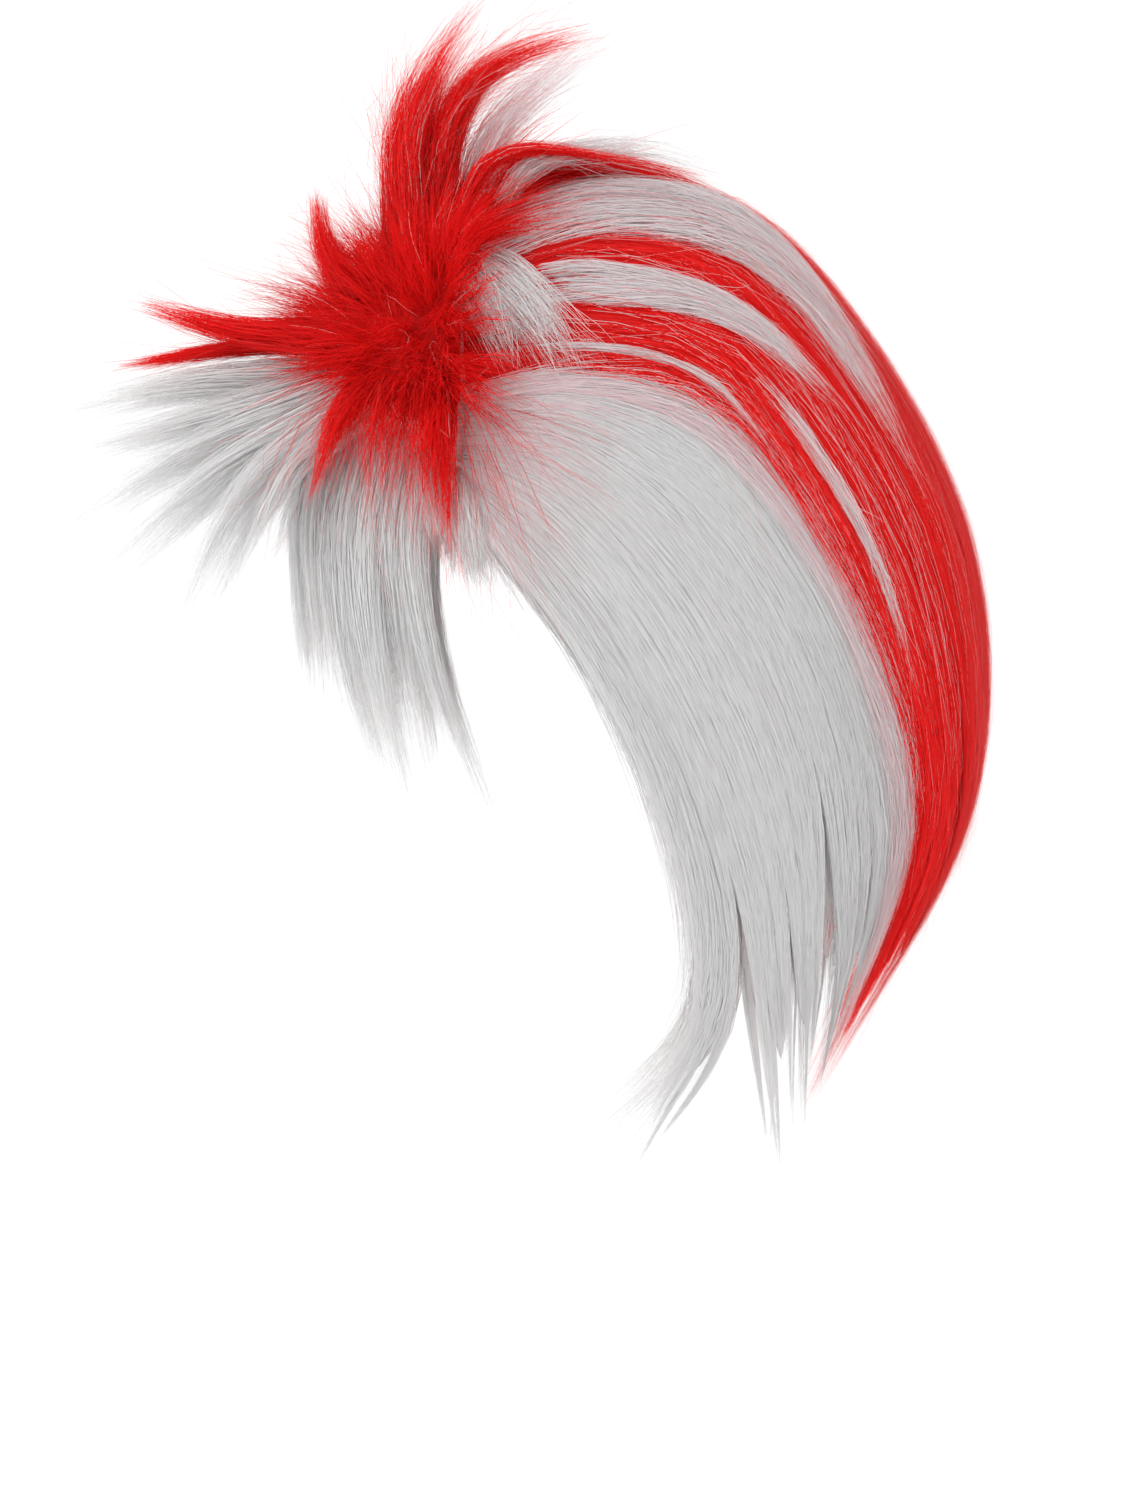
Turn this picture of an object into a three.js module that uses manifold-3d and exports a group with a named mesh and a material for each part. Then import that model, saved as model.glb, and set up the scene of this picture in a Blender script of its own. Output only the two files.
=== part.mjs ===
// A mullet wig of long fake fur. A fabric cap carries a red back panel that runs from the crown to a
// pointed tail, white side panels that hang in locks, white stripes laid into the red, and a short red front
// from which a white spray, a fringe and tufts stand out.
// Units are millimetres. +Z is up, the wearer faces -Y, and the wearer's left is +X.
// The origin is where the top of the wearer's head touches the inside of the cap.
import * as THREE from "three";
import { mergeVertices } from "three/addons/utils/BufferGeometryUtils.js";
import Module from "manifold-3d";

const wasm = await Module();
wasm.setup();

// The head that the cap fits is an ellipsoid whose top is at the origin
const HEAD_HALF_WIDTH = 77;
const HEAD_HALF_DEPTH = 95;
const HEAD_HALF_HEIGHT = 103;

// The cap is a fabric wall on that ellipsoid
const CAP_WALL = 2;
const CAP_SEGMENTS = 24;
const CAP_ROWS = 6;

// The cap's lower edge: how far it drops below the top of the head at each angle round from the front
const RIM = [
  { around: 0, drop: 74 },
  { around: 45, drop: 92 },
  { around: 80, drop: 120 },
  { around: 110, drop: 124 },
  { around: 145, drop: 152 },
  { around: 180, drop: 165 },
];

// Hair starts this far outside the cap
const SEAT_CLEARANCE = 0.6;
const SEAT_LOWER_ROWS = 5;

// Fur fabric under the locks, measured out from the cap. Its inner side is cut back to the seat
const BACKING_OUT = 3.6;
const BACKING_IN = -2;
const BACKING_COLUMNS = 6;

// Neighbouring pieces of hair keep this gap, and cutting them leaves no facet thinner than the sliver
const HAIR_GAP = 0.6;
const SLIVER = 0.05;
const WELD = 1e-3;

// Points round a lock's section, as shares of its half width and half depth
const SECTION = [
  [-1, -0.2],
  [-0.55, 0.85],
  [0.55, 0.85],
  [1, -0.2],
  [0, -0.95],
];

// Share of its full size that a lock has at its root, and the stretch of its course over which it is full.
// Past that it tapers to the tip, where its last section keeps a little of its size
const TUFT_SWELL = { root: 0.85, fullFrom: 0.25, fullTo: 0.3 };
const PANEL_WIDTH_SWELL = { root: 1, fullFrom: 0.1, fullTo: 0.62 };
const PANEL_DEPTH_SWELL = { root: 0.6, fullFrom: 0.2, fullTo: 0.55 };
const STRIPE_SWELL = { root: 0.6, fullFrom: 0.3, fullTo: 0.45 };
const TAPER_LOSS = 0.96;
const TAPER_POWER = 1.4;

// The long hair flows from a line over the head, from ear to ear, to the tail and the hem.
// Each row is a line on its outer surface, from the middle of the back round to the front edge of the side.
const STATIONS = ["root", "crest", "shoulder", "back", "belly", "hem", "tip"];
const FLOW = [
  {
    line: "middle of the back",
    root: [0, -34, 3],
    crest: [0, 24, 16],
    shoulder: [0, 86, 6],
    back: [0, 148, -62],
    belly: [0, 188, -150],
    hem: [0, 186, -255],
    tip: [0, 120, -378],
  },
  {
    line: "upper stripe",
    root: [35, -34, -10],
    crest: [40, 24, 4],
    shoulder: [44, 84, -8],
    back: [48, 140, -72],
    belly: [46, 176, -155],
    hem: [38, 180, -258],
    tip: [10, 119, -378],
  },
  {
    line: "lower stripe",
    root: [63, -34, -38],
    crest: [72, 24, -27],
    shoulder: [76, 78, -42],
    back: [78, 124, -100],
    belly: [70, 156, -172],
    hem: [56, 168, -262],
    tip: [16, 118, -378],
  },
  {
    line: "edge of the red",
    root: [79, -34, -77],
    crest: [88, 20, -74],
    shoulder: [92, 68, -86],
    back: [90, 108, -132],
    belly: [80, 138, -188],
    hem: [62, 156, -258],
    tip: [24, 118, -376],
  },
  {
    line: "rear lock of the side",
    root: [82, -34, -95],
    crest: [92, 8, -94],
    shoulder: [100, 56, -122],
    back: [102, 94, -172],
    belly: [96, 118, -232],
    hem: [82, 124, -300],
    tip: [50, 116, -372],
  },
  {
    line: "longest lock of the side",
    root: [83, -36, -110],
    crest: [92, -2, -124],
    shoulder: [102, 36, -164],
    back: [104, 70, -222],
    belly: [96, 92, -286],
    hem: [82, 98, -342],
    tip: [60, 98, -404],
  },
  {
    line: "front edge of the side",
    root: [80, -40, -122],
    crest: [88, -16, -152],
    shoulder: [98, 14, -190],
    back: [98, 42, -240],
    belly: [86, 62, -302],
    hem: [72, 60, -348],
    tip: [54, 20, -396],
  },
];

// Panels of the long hair. Each is a row of locks between two lines of the flow, counted from the middle.
// Where tips are given, the locks bend to end on those lines, which parts the hem into groups of locks.
// Overlap is how far neighbouring locks run into each other, as a share of their spacing
const PANEL_STEPS = 7;
const PANEL_OVERLAP = 1.14;
const PANEL_BEND_FROM = 0.5;
const SIDE_TIPS = [3.44, 3.78, 4.62, 4.96, 5.72];
const BACK_BACKING = [
  { back: -33, lean: [-72, 72] },
  { back: 0, lean: [-72, 72] },
  { back: 34, lean: [-72, 72] },
  { back: 64, lean: [-66, 66] },
];
const PANELS = [
  {
    name: "side_panel_left",
    zone: "sides",
    colour: "white",
    lines: [3.06, 6],
    locks: 5,
    depth: 15,
    tips: SIDE_TIPS,
  },
  {
    name: "side_panel_right",
    zone: "sides",
    colour: "white",
    lines: [-3.06, -6],
    locks: 5,
    depth: 15,
    tips: SIDE_TIPS.map((line) => -line),
  },
  {
    name: "back_panel",
    zone: "back",
    colour: "red",
    lines: [-3, 3],
    locks: 8,
    depth: 20,
    backing: BACK_BACKING,
  },
];

// White stripes laid into the red panel of each side, each of one lock or more side by side. Upper and
// lower are its edges, in lines counted as for the panels, at the stripe's start, middle and end. Along is
// the share of the hair's length where it starts and ends, and width is that of each lock
const STRIPE_STEPS = 4;
const STRIPE_SPREAD = 0.1;
const STRIPES = [
  {
    name: "stripe_upper",
    upper: [0.25, 0.68, 1.2],
    lower: [1.55, 1.48, 1.35],
    along: [0.03, 0.45],
    locks: 2,
    width: 34,
    depth: 10,
  },
  {
    name: "stripe_lower",
    upper: [1.98, 2.02, 1.84],
    lower: [2.34, 2.33, 2.02],
    along: [0.07, 0.35],
    locks: 1,
    width: 20,
    depth: 9,
  },
  {
    name: "stripe_thin",
    upper: [2.68, 2.76, 2.92],
    lower: [2.8, 2.86, 3.0],
    along: [0.08, 0.33],
    locks: 1,
    width: 7,
    depth: 7,
  },
  {
    name: "stripe_back",
    upper: [2.42, 2.36, 2.46],
    lower: [2.58, 2.54, 2.6],
    along: [0.3, 0.58],
    locks: 1,
    width: 9,
    depth: 7,
  },
];

// Locks that stand out by themselves. Course runs from root to tip, and width lies along the across
// direction. Locks of one piece are fused, and a piece for both sides is given for the left and mirrored.
const TUFT_STEPS = 4;
const TUFTS = [
  {
    name: "top_tuft_red",
    zone: "crown",
    colour: "red",
    across: [1, 0, 0],
    locks: [
      { course: [[8, -57, -30], [9, -61, 32], [7, -51, 64], [6, -33, 91]], width: 26, depth: 20 },
      { course: [[-8, -56, -30], [-10, -57, 30], [-9, -48, 60], [-8, -36, 78]], width: 26, depth: 19 },
      { course: [[2, -45, -24], [3, -44, 30], [4, -31, 58], [4, -8, 72], [4, 21, 80]], width: 26, depth: 16 },
    ],
  },
  {
    name: "top_tuft_white",
    zone: "crown",
    colour: "white",
    across: [1, 0, 0],
    locks: [
      { course: [[-6, -36, -20], [-7, -24, 36], [-7, 2, 62], [-6, 37, 89]], width: 18, depth: 13 },
      { course: [[7, -36, -20], [8, -21, 32], [10, -3, 52], [11, 14, 60]], width: 18, depth: 12 },
    ],
  },
  {
    name: "crown_sweep_red",
    zone: "crown",
    colour: "red",
    across: [1, 0, 0],
    locks: [
      { course: [[8, -24, -14], [9, -8, 21], [9, 24, 22], [8, 60, 15], [7, 92, 0]], width: 22, depth: 12 },
      {
        course: [[-8, -24, -14], [-9, -8, 20], [-9, 22, 22], [-9, 56, 16], [-8, 84, 3]],
        width: 22,
        depth: 12,
      },
    ],
  },
  {
    name: "crown_sweep_white",
    zone: "crown",
    colour: "white",
    across: [1, 0, 0],
    both: true,
    locks: [
      {
        course: [[26, -26, -14], [27, -8, 18], [25, 20, 26], [22, 44, 26], [20, 72, 18]],
        width: 13,
        depth: 9,
      },
    ],
  },
  {
    name: "front_spike",
    zone: "front",
    colour: "red",
    across: [1, 0, 0],
    locks: [{ course: [[15, -74, -46], [17, -94, -16], [15, -99, 10]], width: 18, depth: 15 }],
  },
  {
    name: "front_flick",
    zone: "front",
    colour: "red",
    across: [1, 0, 0],
    locks: [
      { course: [[7, -78, -52], [8, -130, -51], [6, -174, -40]], width: 18, depth: 15 },
      { course: [[-7, -78, -52], [-5, -134, -56], [-3, -186, -64]], width: 15, depth: 8 },
    ],
  },
  {
    name: "front_spray",
    zone: "front",
    colour: "white",
    across: [1, 0, 0],
    locks: [
      { course: [[0, -80, -68], [0, -150, -72], [-2, -206, -84]], width: 24, depth: 15 },
      { course: [[13, -80, -72], [20, -150, -90], [15, -208, -106]], width: 24, depth: 15 },
      { course: [[-13, -80, -72], [-20, -148, -88], [-18, -202, -100]], width: 24, depth: 15 },
      { course: [[24, -76, -74], [34, -144, -100], [35, -195, -130]], width: 22, depth: 15 },
      { course: [[-24, -76, -74], [-34, -144, -98], [-36, -194, -124]], width: 22, depth: 15 },
      { course: [[32, -74, -76], [46, -136, -110], [51, -185, -154]], width: 20, depth: 14 },
      { course: [[-32, -74, -76], [-46, -136, -108], [-52, -182, -148]], width: 20, depth: 14 },
      { course: [[40, -70, -78], [56, -122, -116], [64, -152, -171]], width: 18, depth: 14 },
      { course: [[-40, -70, -78], [-56, -122, -114], [-64, -150, -166]], width: 18, depth: 14 },
      { course: [[47, -65, -80], [62, -106, -112], [74, -122, -150]], width: 16, depth: 12 },
      { course: [[-47, -65, -80], [-62, -106, -110], [-74, -120, -146]], width: 16, depth: 12 },
    ],
  },
  {
    name: "fringe",
    zone: "front",
    colour: "white",
    across: [1, 0, 0],
    locks: [
      { course: [[0, -89, -78], [0, -104, -124], [0, -105, -165], [-1, -102, -200]], width: 22, depth: 10 },
      {
        course: [[13, -88, -79], [15, -103, -126], [16, -104, -168], [13, -102, -206]],
        width: 22,
        depth: 10,
      },
      {
        course: [[-13, -88, -79], [-15, -102, -122], [-16, -102, -160], [-14, -100, -196]],
        width: 22,
        depth: 10,
      },
      { course: [[25, -84, -81], [29, -98, -128], [31, -98, -168], [28, -95, -202]], width: 22, depth: 10 },
      {
        course: [[-25, -84, -81], [-29, -98, -126], [-31, -98, -164], [-28, -95, -198]],
        width: 22,
        depth: 10,
      },
    ],
  },
  {
    name: "fringe",
    zone: "front",
    colour: "white",
    across: [0.7, 0.7, 0],
    both: true,
    locks: [
      { course: [[43, -74, -90], [51, -87, -136], [53, -84, -190], [50, -72, -238]], width: 18, depth: 9 },
      { course: [[52, -66, -94], [61, -76, -140], [63, -72, -195], [58, -60, -246]], width: 18, depth: 9 },
      { course: [[59, -58, -98], [68, -64, -142], [69, -58, -190], [64, -50, -238]], width: 18, depth: 9 },
    ],
  },
  {
    name: "temple_lock",
    zone: "sides",
    colour: "white",
    across: [0.2, 1, 0],
    both: true,
    locks: [
      { course: [[66, -50, -104], [76, -55, -146], [77, -47, -196], [72, -26, -256]], width: 13, depth: 8 },
    ],
  },
  {
    name: "sideburn",
    zone: "sides",
    colour: "white",
    across: [0, 1, 0],
    both: true,
    locks: [
      { course: [[69, -45, -108], [81, -44, -128], [82, -42, -152]], width: 18, depth: 10 },
      { course: [[70, -35, -114], [84, -32, -134], [85, -27, -160]], width: 18, depth: 10 },
    ],
  },
  {
    name: "wisp",
    zone: "sides",
    colour: "white",
    across: [0, 0.7, 0.7],
    both: true,
    locks: [
      { course: [[46, -36, -27], [71, -23, -44], [86, -8, -73]], width: 20, depth: 7 },
      { course: [[46, -32, -24], [75, -9, -42], [92, 17, -78]], width: 20, depth: 7 },
    ],
  },
];

// Short fur of the front. Rows stand on the cap at a distance back from the ears' line, at a spread of
// leans from the top towards the ears; each lock stands out by its reach and then falls by its droop
const FUR_STEPS = 2;
const FUR_ROOT_IN = -4;
const FUR_BEND = { reach: 0.6, droop: 0.2 };
const FUR_WIDTH_SHARE = 0.9;
const FRONT_FUR = [
  { back: -79, leans: [-56, -20, 20, 56], reach: 28, droop: 6, width: 32 },
  { back: -63, leans: [-72, -40, 40, 72], reach: 33, droop: 9, width: 36 },
  { back: -47, leans: [-82, -52, -22, 22, 52, 82], reach: 31, droop: 9, width: 36 },
];
const FRONT_BACKING = [
  { back: -86, lean: [-52, 52] },
  { back: -64, lean: [-76, 76] },
  { back: -38, lean: [-88, 88] },
];
const FALLING_FUR = [
  { course: [[62, -46, -72], [86, -47, -98], [87, -42, -150]], width: 16, depth: 11 },
  { course: [[56, -60, -72], [78, -68, -98], [81, -66, -132]], width: 16, depth: 11 },
  { course: [[48, -70, -70], [68, -86, -94], [75, -93, -122]], width: 16, depth: 11 },
];

// Hair under the back panel, rooted on the back of the cap
const UNDERLAYER = [
  {
    course: [[0, 84, -92], [0, 128, -122], [0, 152, -200], [0, 140, -272], [0, 128, -322]],
    width: 48,
    depth: 26,
  },
  {
    course: [[26, 77, -94], [33, 116, -128], [36, 138, -205], [27, 132, -270], [18, 124, -316]],
    width: 50,
    depth: 28,
  },
  {
    course: [[45, 66, -98], [58, 94, -138], [61, 114, -212], [47, 117, -264], [34, 116, -302]],
    width: 50,
    depth: 28,
  },
];

const COLOURS = {
  red: { color: 0xb4231f, roughness: 0.85 },
  white: { color: 0xe4e1e2, roughness: 0.85 },
  cap: { color: 0xd6d2cf, roughness: 0.95 },
};

const HEAD_CENTRE = new THREE.Vector3(0, 0, -HEAD_HALF_HEIGHT);
const HEAD_AXES = new THREE.Vector3(HEAD_HALF_WIDTH, HEAD_HALF_DEPTH, HEAD_HALF_HEIGHT);
const MIRROR = new THREE.Vector3(-1, 1, 1);
const CROSSWISE = new THREE.Vector3(1, 0, 0);
const SIDEWAYS = new THREE.Vector3(0, 1, 0);
const point = (coordinates) => new THREE.Vector3(...coordinates);
const mirrored = (coordinates) => point(coordinates).multiply(MIRROR).toArray();

function solidOf(geometry) {
  geometry.deleteAttribute("normal");
  geometry.deleteAttribute("uv");
  const welded = mergeVertices(geometry, WELD);
  const mesh = new wasm.Mesh({
    numProp: 3,
    vertProperties: welded.attributes.position.array,
    triVerts: new Uint32Array(welded.index.array),
  });
  return new wasm.Manifold(mesh);
}

function closedMesh(points, triangles) {
  const geometry = new THREE.BufferGeometry().setFromPoints(points);
  geometry.setIndex(triangles);
  return solidOf(geometry);
}

// A value between a table's rows, held flat at its first and last row
function between(rows, key, value, at) {
  const last = rows.length - 1;
  let upper = 1;
  while (upper < last && rows[upper][key] < at) {
    upper += 1;
  }
  const [before, after] = [rows[upper - 1], rows[upper]];
  const share = THREE.MathUtils.clamp((at - before[key]) / (after[key] - before[key]), 0, 1);
  return THREE.MathUtils.lerp(before[value], after[value], share);
}

// Angles down from the top of the head at which the cap has its rows, the last along its rim
function capAngles(around) {
  const drop = between(RIM, "around", "drop", around > 180 ? 360 - around : around);
  const rim = Math.acos((HEAD_HALF_HEIGHT - drop) / HEAD_HALF_HEIGHT);
  return Array.from({ length: CAP_ROWS }, (_, row) => (rim * (row + 1)) / CAP_ROWS);
}

// The same rows, carried on below the rim to just above the bottom of the head
function seatAngles(around) {
  const angles = capAngles(around);
  const rim = angles[CAP_ROWS - 1];
  for (let row = 1; row < SEAT_LOWER_ROWS; row += 1) {
    angles.push(rim + ((Math.PI - rim) * row) / SEAT_LOWER_ROWS);
  }
  return angles;
}

// Rings of points on the head's ellipsoid grown by out, with the indices of the points that they add
function domeRings(points, out, anglesAt) {
  const axes = HEAD_AXES.clone().addScalar(out);
  const rings = [];
  for (let segment = 0; segment < CAP_SEGMENTS; segment += 1) {
    const around = (360 * segment) / CAP_SEGMENTS;
    const turn = THREE.MathUtils.degToRad(around);
    anglesAt(around).forEach((down, row) => {
      const across = Math.sin(down) * Math.sin(turn);
      const ahead = -Math.sin(down) * Math.cos(turn);
      const place = new THREE.Vector3(across, ahead, Math.cos(down)).multiply(axes).add(HEAD_CENTRE);
      rings[row] ??= [];
      rings[row].push(points.push(place) - 1);
    });
  }
  return rings;
}

function addBand(triangles, upper, lower) {
  upper.forEach((corner, segment) => {
    const on = (segment + 1) % upper.length;
    triangles.push(corner, lower[segment], lower[on], corner, lower[on], upper[on]);
  });
}

function addFan(triangles, centre, ring) {
  ring.forEach((corner, segment) => triangles.push(centre, corner, ring[(segment + 1) % ring.length]));
}

function addDome(triangles, top, rings) {
  addFan(triangles, top, rings[0]);
  for (let row = 1; row < rings.length; row += 1) {
    addBand(triangles, rings[row - 1], rings[row]);
  }
}

const poleOf = (out, side) => new THREE.Vector3(0, 0, side * (HEAD_HALF_HEIGHT + out)).add(HEAD_CENTRE);

// The cap: an outer and an inner dome that meet along the rim
function capSolid() {
  const points = [];
  const triangles = [];
  const inside = [];
  const outerTop = points.push(poleOf(CAP_WALL, 1)) - 1;
  const outer = domeRings(points, CAP_WALL, capAngles);
  const innerTop = points.push(poleOf(0, 1)) - 1;
  const inner = domeRings(points, 0, capAngles);
  addDome(triangles, outerTop, outer);
  addBand(triangles, outer[CAP_ROWS - 1], inner[CAP_ROWS - 1]);
  addDome(inside, innerTop, inner);
  triangles.push(...inside.reverse());
  return closedMesh(points, triangles);
}

// Space that the capped head takes up, which no hair enters. Its facets lie along the cap's
function seatSolid() {
  const points = [];
  const triangles = [];
  const out = CAP_WALL + SEAT_CLEARANCE;
  const top = points.push(poleOf(out, 1)) - 1;
  const bottom = points.push(poleOf(out, -1)) - 1;
  const rings = domeRings(points, out, seatAngles);
  addDome(triangles, top, rings);
  addFan(triangles, bottom, rings[rings.length - 1].toReversed());
  return closedMesh(points, triangles);
}

// A place on the cap: back is measured from the ears' line, and lean from the top towards the left ear
function onCap(back, lean, out) {
  const axes = HEAD_AXES.clone().addScalar(CAP_WALL);
  const ring = Math.sqrt(1 - (back / axes.y) ** 2);
  const angle = THREE.MathUtils.degToRad(lean);
  const place = new THREE.Vector3(axes.x * ring * Math.sin(angle), back, axes.z * ring * Math.cos(angle));
  const outward = place.clone().divide(axes).divide(axes).normalize();
  return place.addScaledVector(outward, out).add(HEAD_CENTRE);
}

// Fur fabric over part of the cap, from rows of a range of leans
function backingSolid(rows, grow) {
  const points = [];
  const triangles = [];
  const columns = BACKING_COLUMNS;
  const spread = (row, column) => THREE.MathUtils.lerp(row.lean[0], row.lean[1], column / columns);
  const layers = [BACKING_IN, BACKING_OUT + grow].map((out) =>
    rows.map((row) => {
      const line = [];
      for (let column = 0; column <= columns; column += 1) {
        line.push(points.push(onCap(row.back, spread(row, column), out)) - 1);
      }
      return line;
    }),
  );
  const [inner, outer] = layers;
  const quad = (a, b, c, d) => triangles.push(a, b, c, a, c, d);
  const last = rows.length - 1;
  for (let row = 0; row < last; row += 1) {
    for (let column = 0; column < columns; column += 1) {
      quad(outer[row][column], outer[row][column + 1], outer[row + 1][column + 1], outer[row + 1][column]);
      quad(inner[row][column], inner[row + 1][column], inner[row + 1][column + 1], inner[row][column + 1]);
    }
    quad(outer[row][0], outer[row + 1][0], inner[row + 1][0], inner[row][0]);
    quad(outer[row][columns], inner[row][columns], inner[row + 1][columns], outer[row + 1][columns]);
  }
  for (let column = 0; column < columns; column += 1) {
    quad(outer[0][column], inner[0][column], inner[0][column + 1], outer[0][column + 1]);
    quad(outer[last][column], outer[last][column + 1], inner[last][column + 1], inner[last][column]);
  }
  return closedMesh(points, triangles);
}

// A lock through sections that hold their centre, directions and half sizes, ending in a point.
// Grow makes it larger on every side, ends as well
function lockSolid(sections, tip, grow) {
  const points = [];
  const triangles = [];
  const first = sections[0];
  first.centre.addScaledVector(new THREE.Vector3().crossVectors(first.across, first.out), grow);
  const ahead = tip.clone().sub(sections[sections.length - 1].centre).normalize();
  const rings = sections.map(({ centre, across, out, halfWidth, halfDepth }) =>
    SECTION.map(([side, rise]) => {
      const place = centre.clone();
      place.addScaledVector(across, side * (halfWidth + grow));
      place.addScaledVector(out, rise * (halfDepth + grow));
      return points.push(place) - 1;
    }),
  );
  const root = points.push(first.centre) - 1;
  const end = points.push(tip.clone().addScaledVector(ahead, 2 * grow)) - 1;
  const sides = SECTION.length;
  for (let side = 0; side < sides; side += 1) {
    const on = (side + 1) % sides;
    triangles.push(root, rings[0][on], rings[0][side]);
    for (let ring = 1; ring < rings.length; ring += 1) {
      triangles.push(rings[ring - 1][side], rings[ring - 1][on], rings[ring][on]);
      triangles.push(rings[ring - 1][side], rings[ring][on], rings[ring][side]);
    }
    const final = rings[rings.length - 1];
    triangles.push(final[side], final[on], end);
  }
  return closedMesh(points, triangles);
}

// Directions of a section: across is squared to the course, and out completes them
function sectionAt(centre, forward, acrossHint) {
  const across = acrossHint.clone().addScaledVector(forward, -acrossHint.dot(forward)).normalize();
  const out = new THREE.Vector3().crossVectors(across, forward);
  return { centre, across, out };
}

// Share of its full size that a lock has along its course: it swells from the root and tapers to the tip
function swell(along, { root, fullFrom, fullTo }) {
  if (along < fullFrom) {
    return THREE.MathUtils.lerp(root, 1, THREE.MathUtils.smoothstep(along, 0, fullFrom));
  }
  const fall = THREE.MathUtils.clamp((along - fullTo) / (1 - fullTo), 0, 1);
  return 1 - TAPER_LOSS * fall ** TAPER_POWER;
}

function tuftLock({ course, width, depth }, acrossHint, steps, grow) {
  const curve = new THREE.CatmullRomCurve3(course.map(point));
  const sections = [];
  for (let step = 0; step < steps; step += 1) {
    const along = step / steps;
    const section = sectionAt(curve.getPointAt(along), curve.getTangentAt(along), acrossHint);
    const size = swell(along, TUFT_SWELL);
    sections.push({ ...section, halfWidth: (width / 2) * size, halfDepth: (depth / 2) * size });
  }
  return lockSolid(sections, curve.getPointAt(1), grow);
}

// The flow's outer surface: a curve for each line, counted from the middle, negative on the right
const FLOW_EDGE = FLOW.length - 1;
const FLOW_LINES = [
  ...FLOW.slice(1)
    .reverse()
    .map((line) => STATIONS.map((station) => point(mirrored(line[station])))),
  ...FLOW.map((line) => STATIONS.map((station) => point(line[station]))),
];
const FLOW_ACROSS = STATIONS.map(
  (station, index) =>
    new THREE.CatmullRomCurve3(
      FLOW_LINES.map((line) => line[index]),
      false,
      "catmullrom",
      0.5,
    ),
);

function flowCurve(line) {
  const share = THREE.MathUtils.clamp((line + FLOW_EDGE) / (2 * FLOW_EDGE), 0, 1);
  return new THREE.CatmullRomCurve3(FLOW_ACROSS.map((curve) => curve.getPoint(share)));
}

// A section on the flow's outer surface, with half the distance between the lines to each side of it
function flowSection(line, along, halfSpacing) {
  const curve = flowCurve(line);
  const lower = flowCurve(Math.max(line - halfSpacing, -FLOW_EDGE)).getPointAt(along);
  const upper = flowCurve(Math.min(line + halfSpacing, FLOW_EDGE)).getPointAt(along);
  const section = sectionAt(curve.getPointAt(along), curve.getTangentAt(along), upper.clone().sub(lower));
  return { ...section, halfSpread: upper.distanceTo(lower) / 2 };
}

function panelLock(line, tip, halfSpacing, depth, grow) {
  const sections = [];
  for (let step = 0; step < PANEL_STEPS; step += 1) {
    const along = step / PANEL_STEPS;
    const bent = THREE.MathUtils.lerp(line, tip, THREE.MathUtils.smoothstep(along, PANEL_BEND_FROM, 1));
    const section = flowSection(bent, along, halfSpacing);
    const halfWidth = section.halfSpread * PANEL_OVERLAP * swell(along, PANEL_WIDTH_SWELL);
    const halfDepth = (depth / 2) * swell(along, PANEL_DEPTH_SWELL);
    const centre = section.centre.addScaledVector(section.out, -halfDepth);
    sections.push({ ...section, centre, halfWidth, halfDepth });
  }
  return lockSolid(sections, flowCurve(tip).getPointAt(1), grow);
}

function panelSolids({ lines, locks, depth, tips, backing }, grow) {
  const spacing = (lines[1] - lines[0]) / locks;
  const solids = [];
  for (let lock = 0; lock < locks; lock += 1) {
    const line = lines[0] + spacing * (lock + 0.5);
    solids.push(panelLock(line, tips ? tips[lock] : line, Math.abs(spacing) / 2, depth, grow));
  }
  if (backing) {
    solids.push(backingSolid(backing, grow));
  }
  return solids;
}

// A smooth run of flow lines through the values at the start, middle and end
function lineRun([first, middle, last]) {
  return new THREE.QuadraticBezierCurve(
    new THREE.Vector2(0, first),
    new THREE.Vector2(0.5, 2 * middle - (first + last) / 2),
    new THREE.Vector2(1, last),
  );
}

// One lock of a stripe, at a share of the way between the stripe's edges
function stripeLock({ upper, lower, along, width, depth }, side, within, grow) {
  const edges = [lineRun(upper), lineRun(lower)];
  const place = (share) => {
    const [from, to] = edges.map((edge) => edge.getPoint(share).y);
    const line = side * THREE.MathUtils.lerp(from, to, within);
    return flowSection(line, THREE.MathUtils.lerp(...along, share), STRIPE_SPREAD);
  };
  const sections = [];
  for (let step = 0; step < STRIPE_STEPS; step += 1) {
    const share = step / STRIPE_STEPS;
    const section = place(share);
    const size = swell(share, STRIPE_SWELL);
    sections.push({ ...section, halfWidth: (width / 2) * size, halfDepth: (depth / 2) * size });
  }
  return lockSolid(sections, place(1).centre, grow);
}

function stripeSolids(stripe, side, grow) {
  const solids = [];
  for (let lock = 0; lock < stripe.locks; lock += 1) {
    solids.push(stripeLock(stripe, side, (lock + 0.5) / stripe.locks, grow));
  }
  return solids;
}

function furLock({ back, reach, droop, width }, lean, grow) {
  const root = onCap(back, lean, FUR_ROOT_IN);
  const middle = onCap(back, lean, reach * FUR_BEND.reach);
  const end = onCap(back, lean, reach);
  middle.z -= droop * FUR_BEND.droop;
  end.z -= droop;
  const course = [root, middle, end].map((place) => place.toArray());
  return tuftLock({ course, width: width * FUR_WIDTH_SHARE, depth: width }, SIDEWAYS, FUR_STEPS, grow);
}

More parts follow.
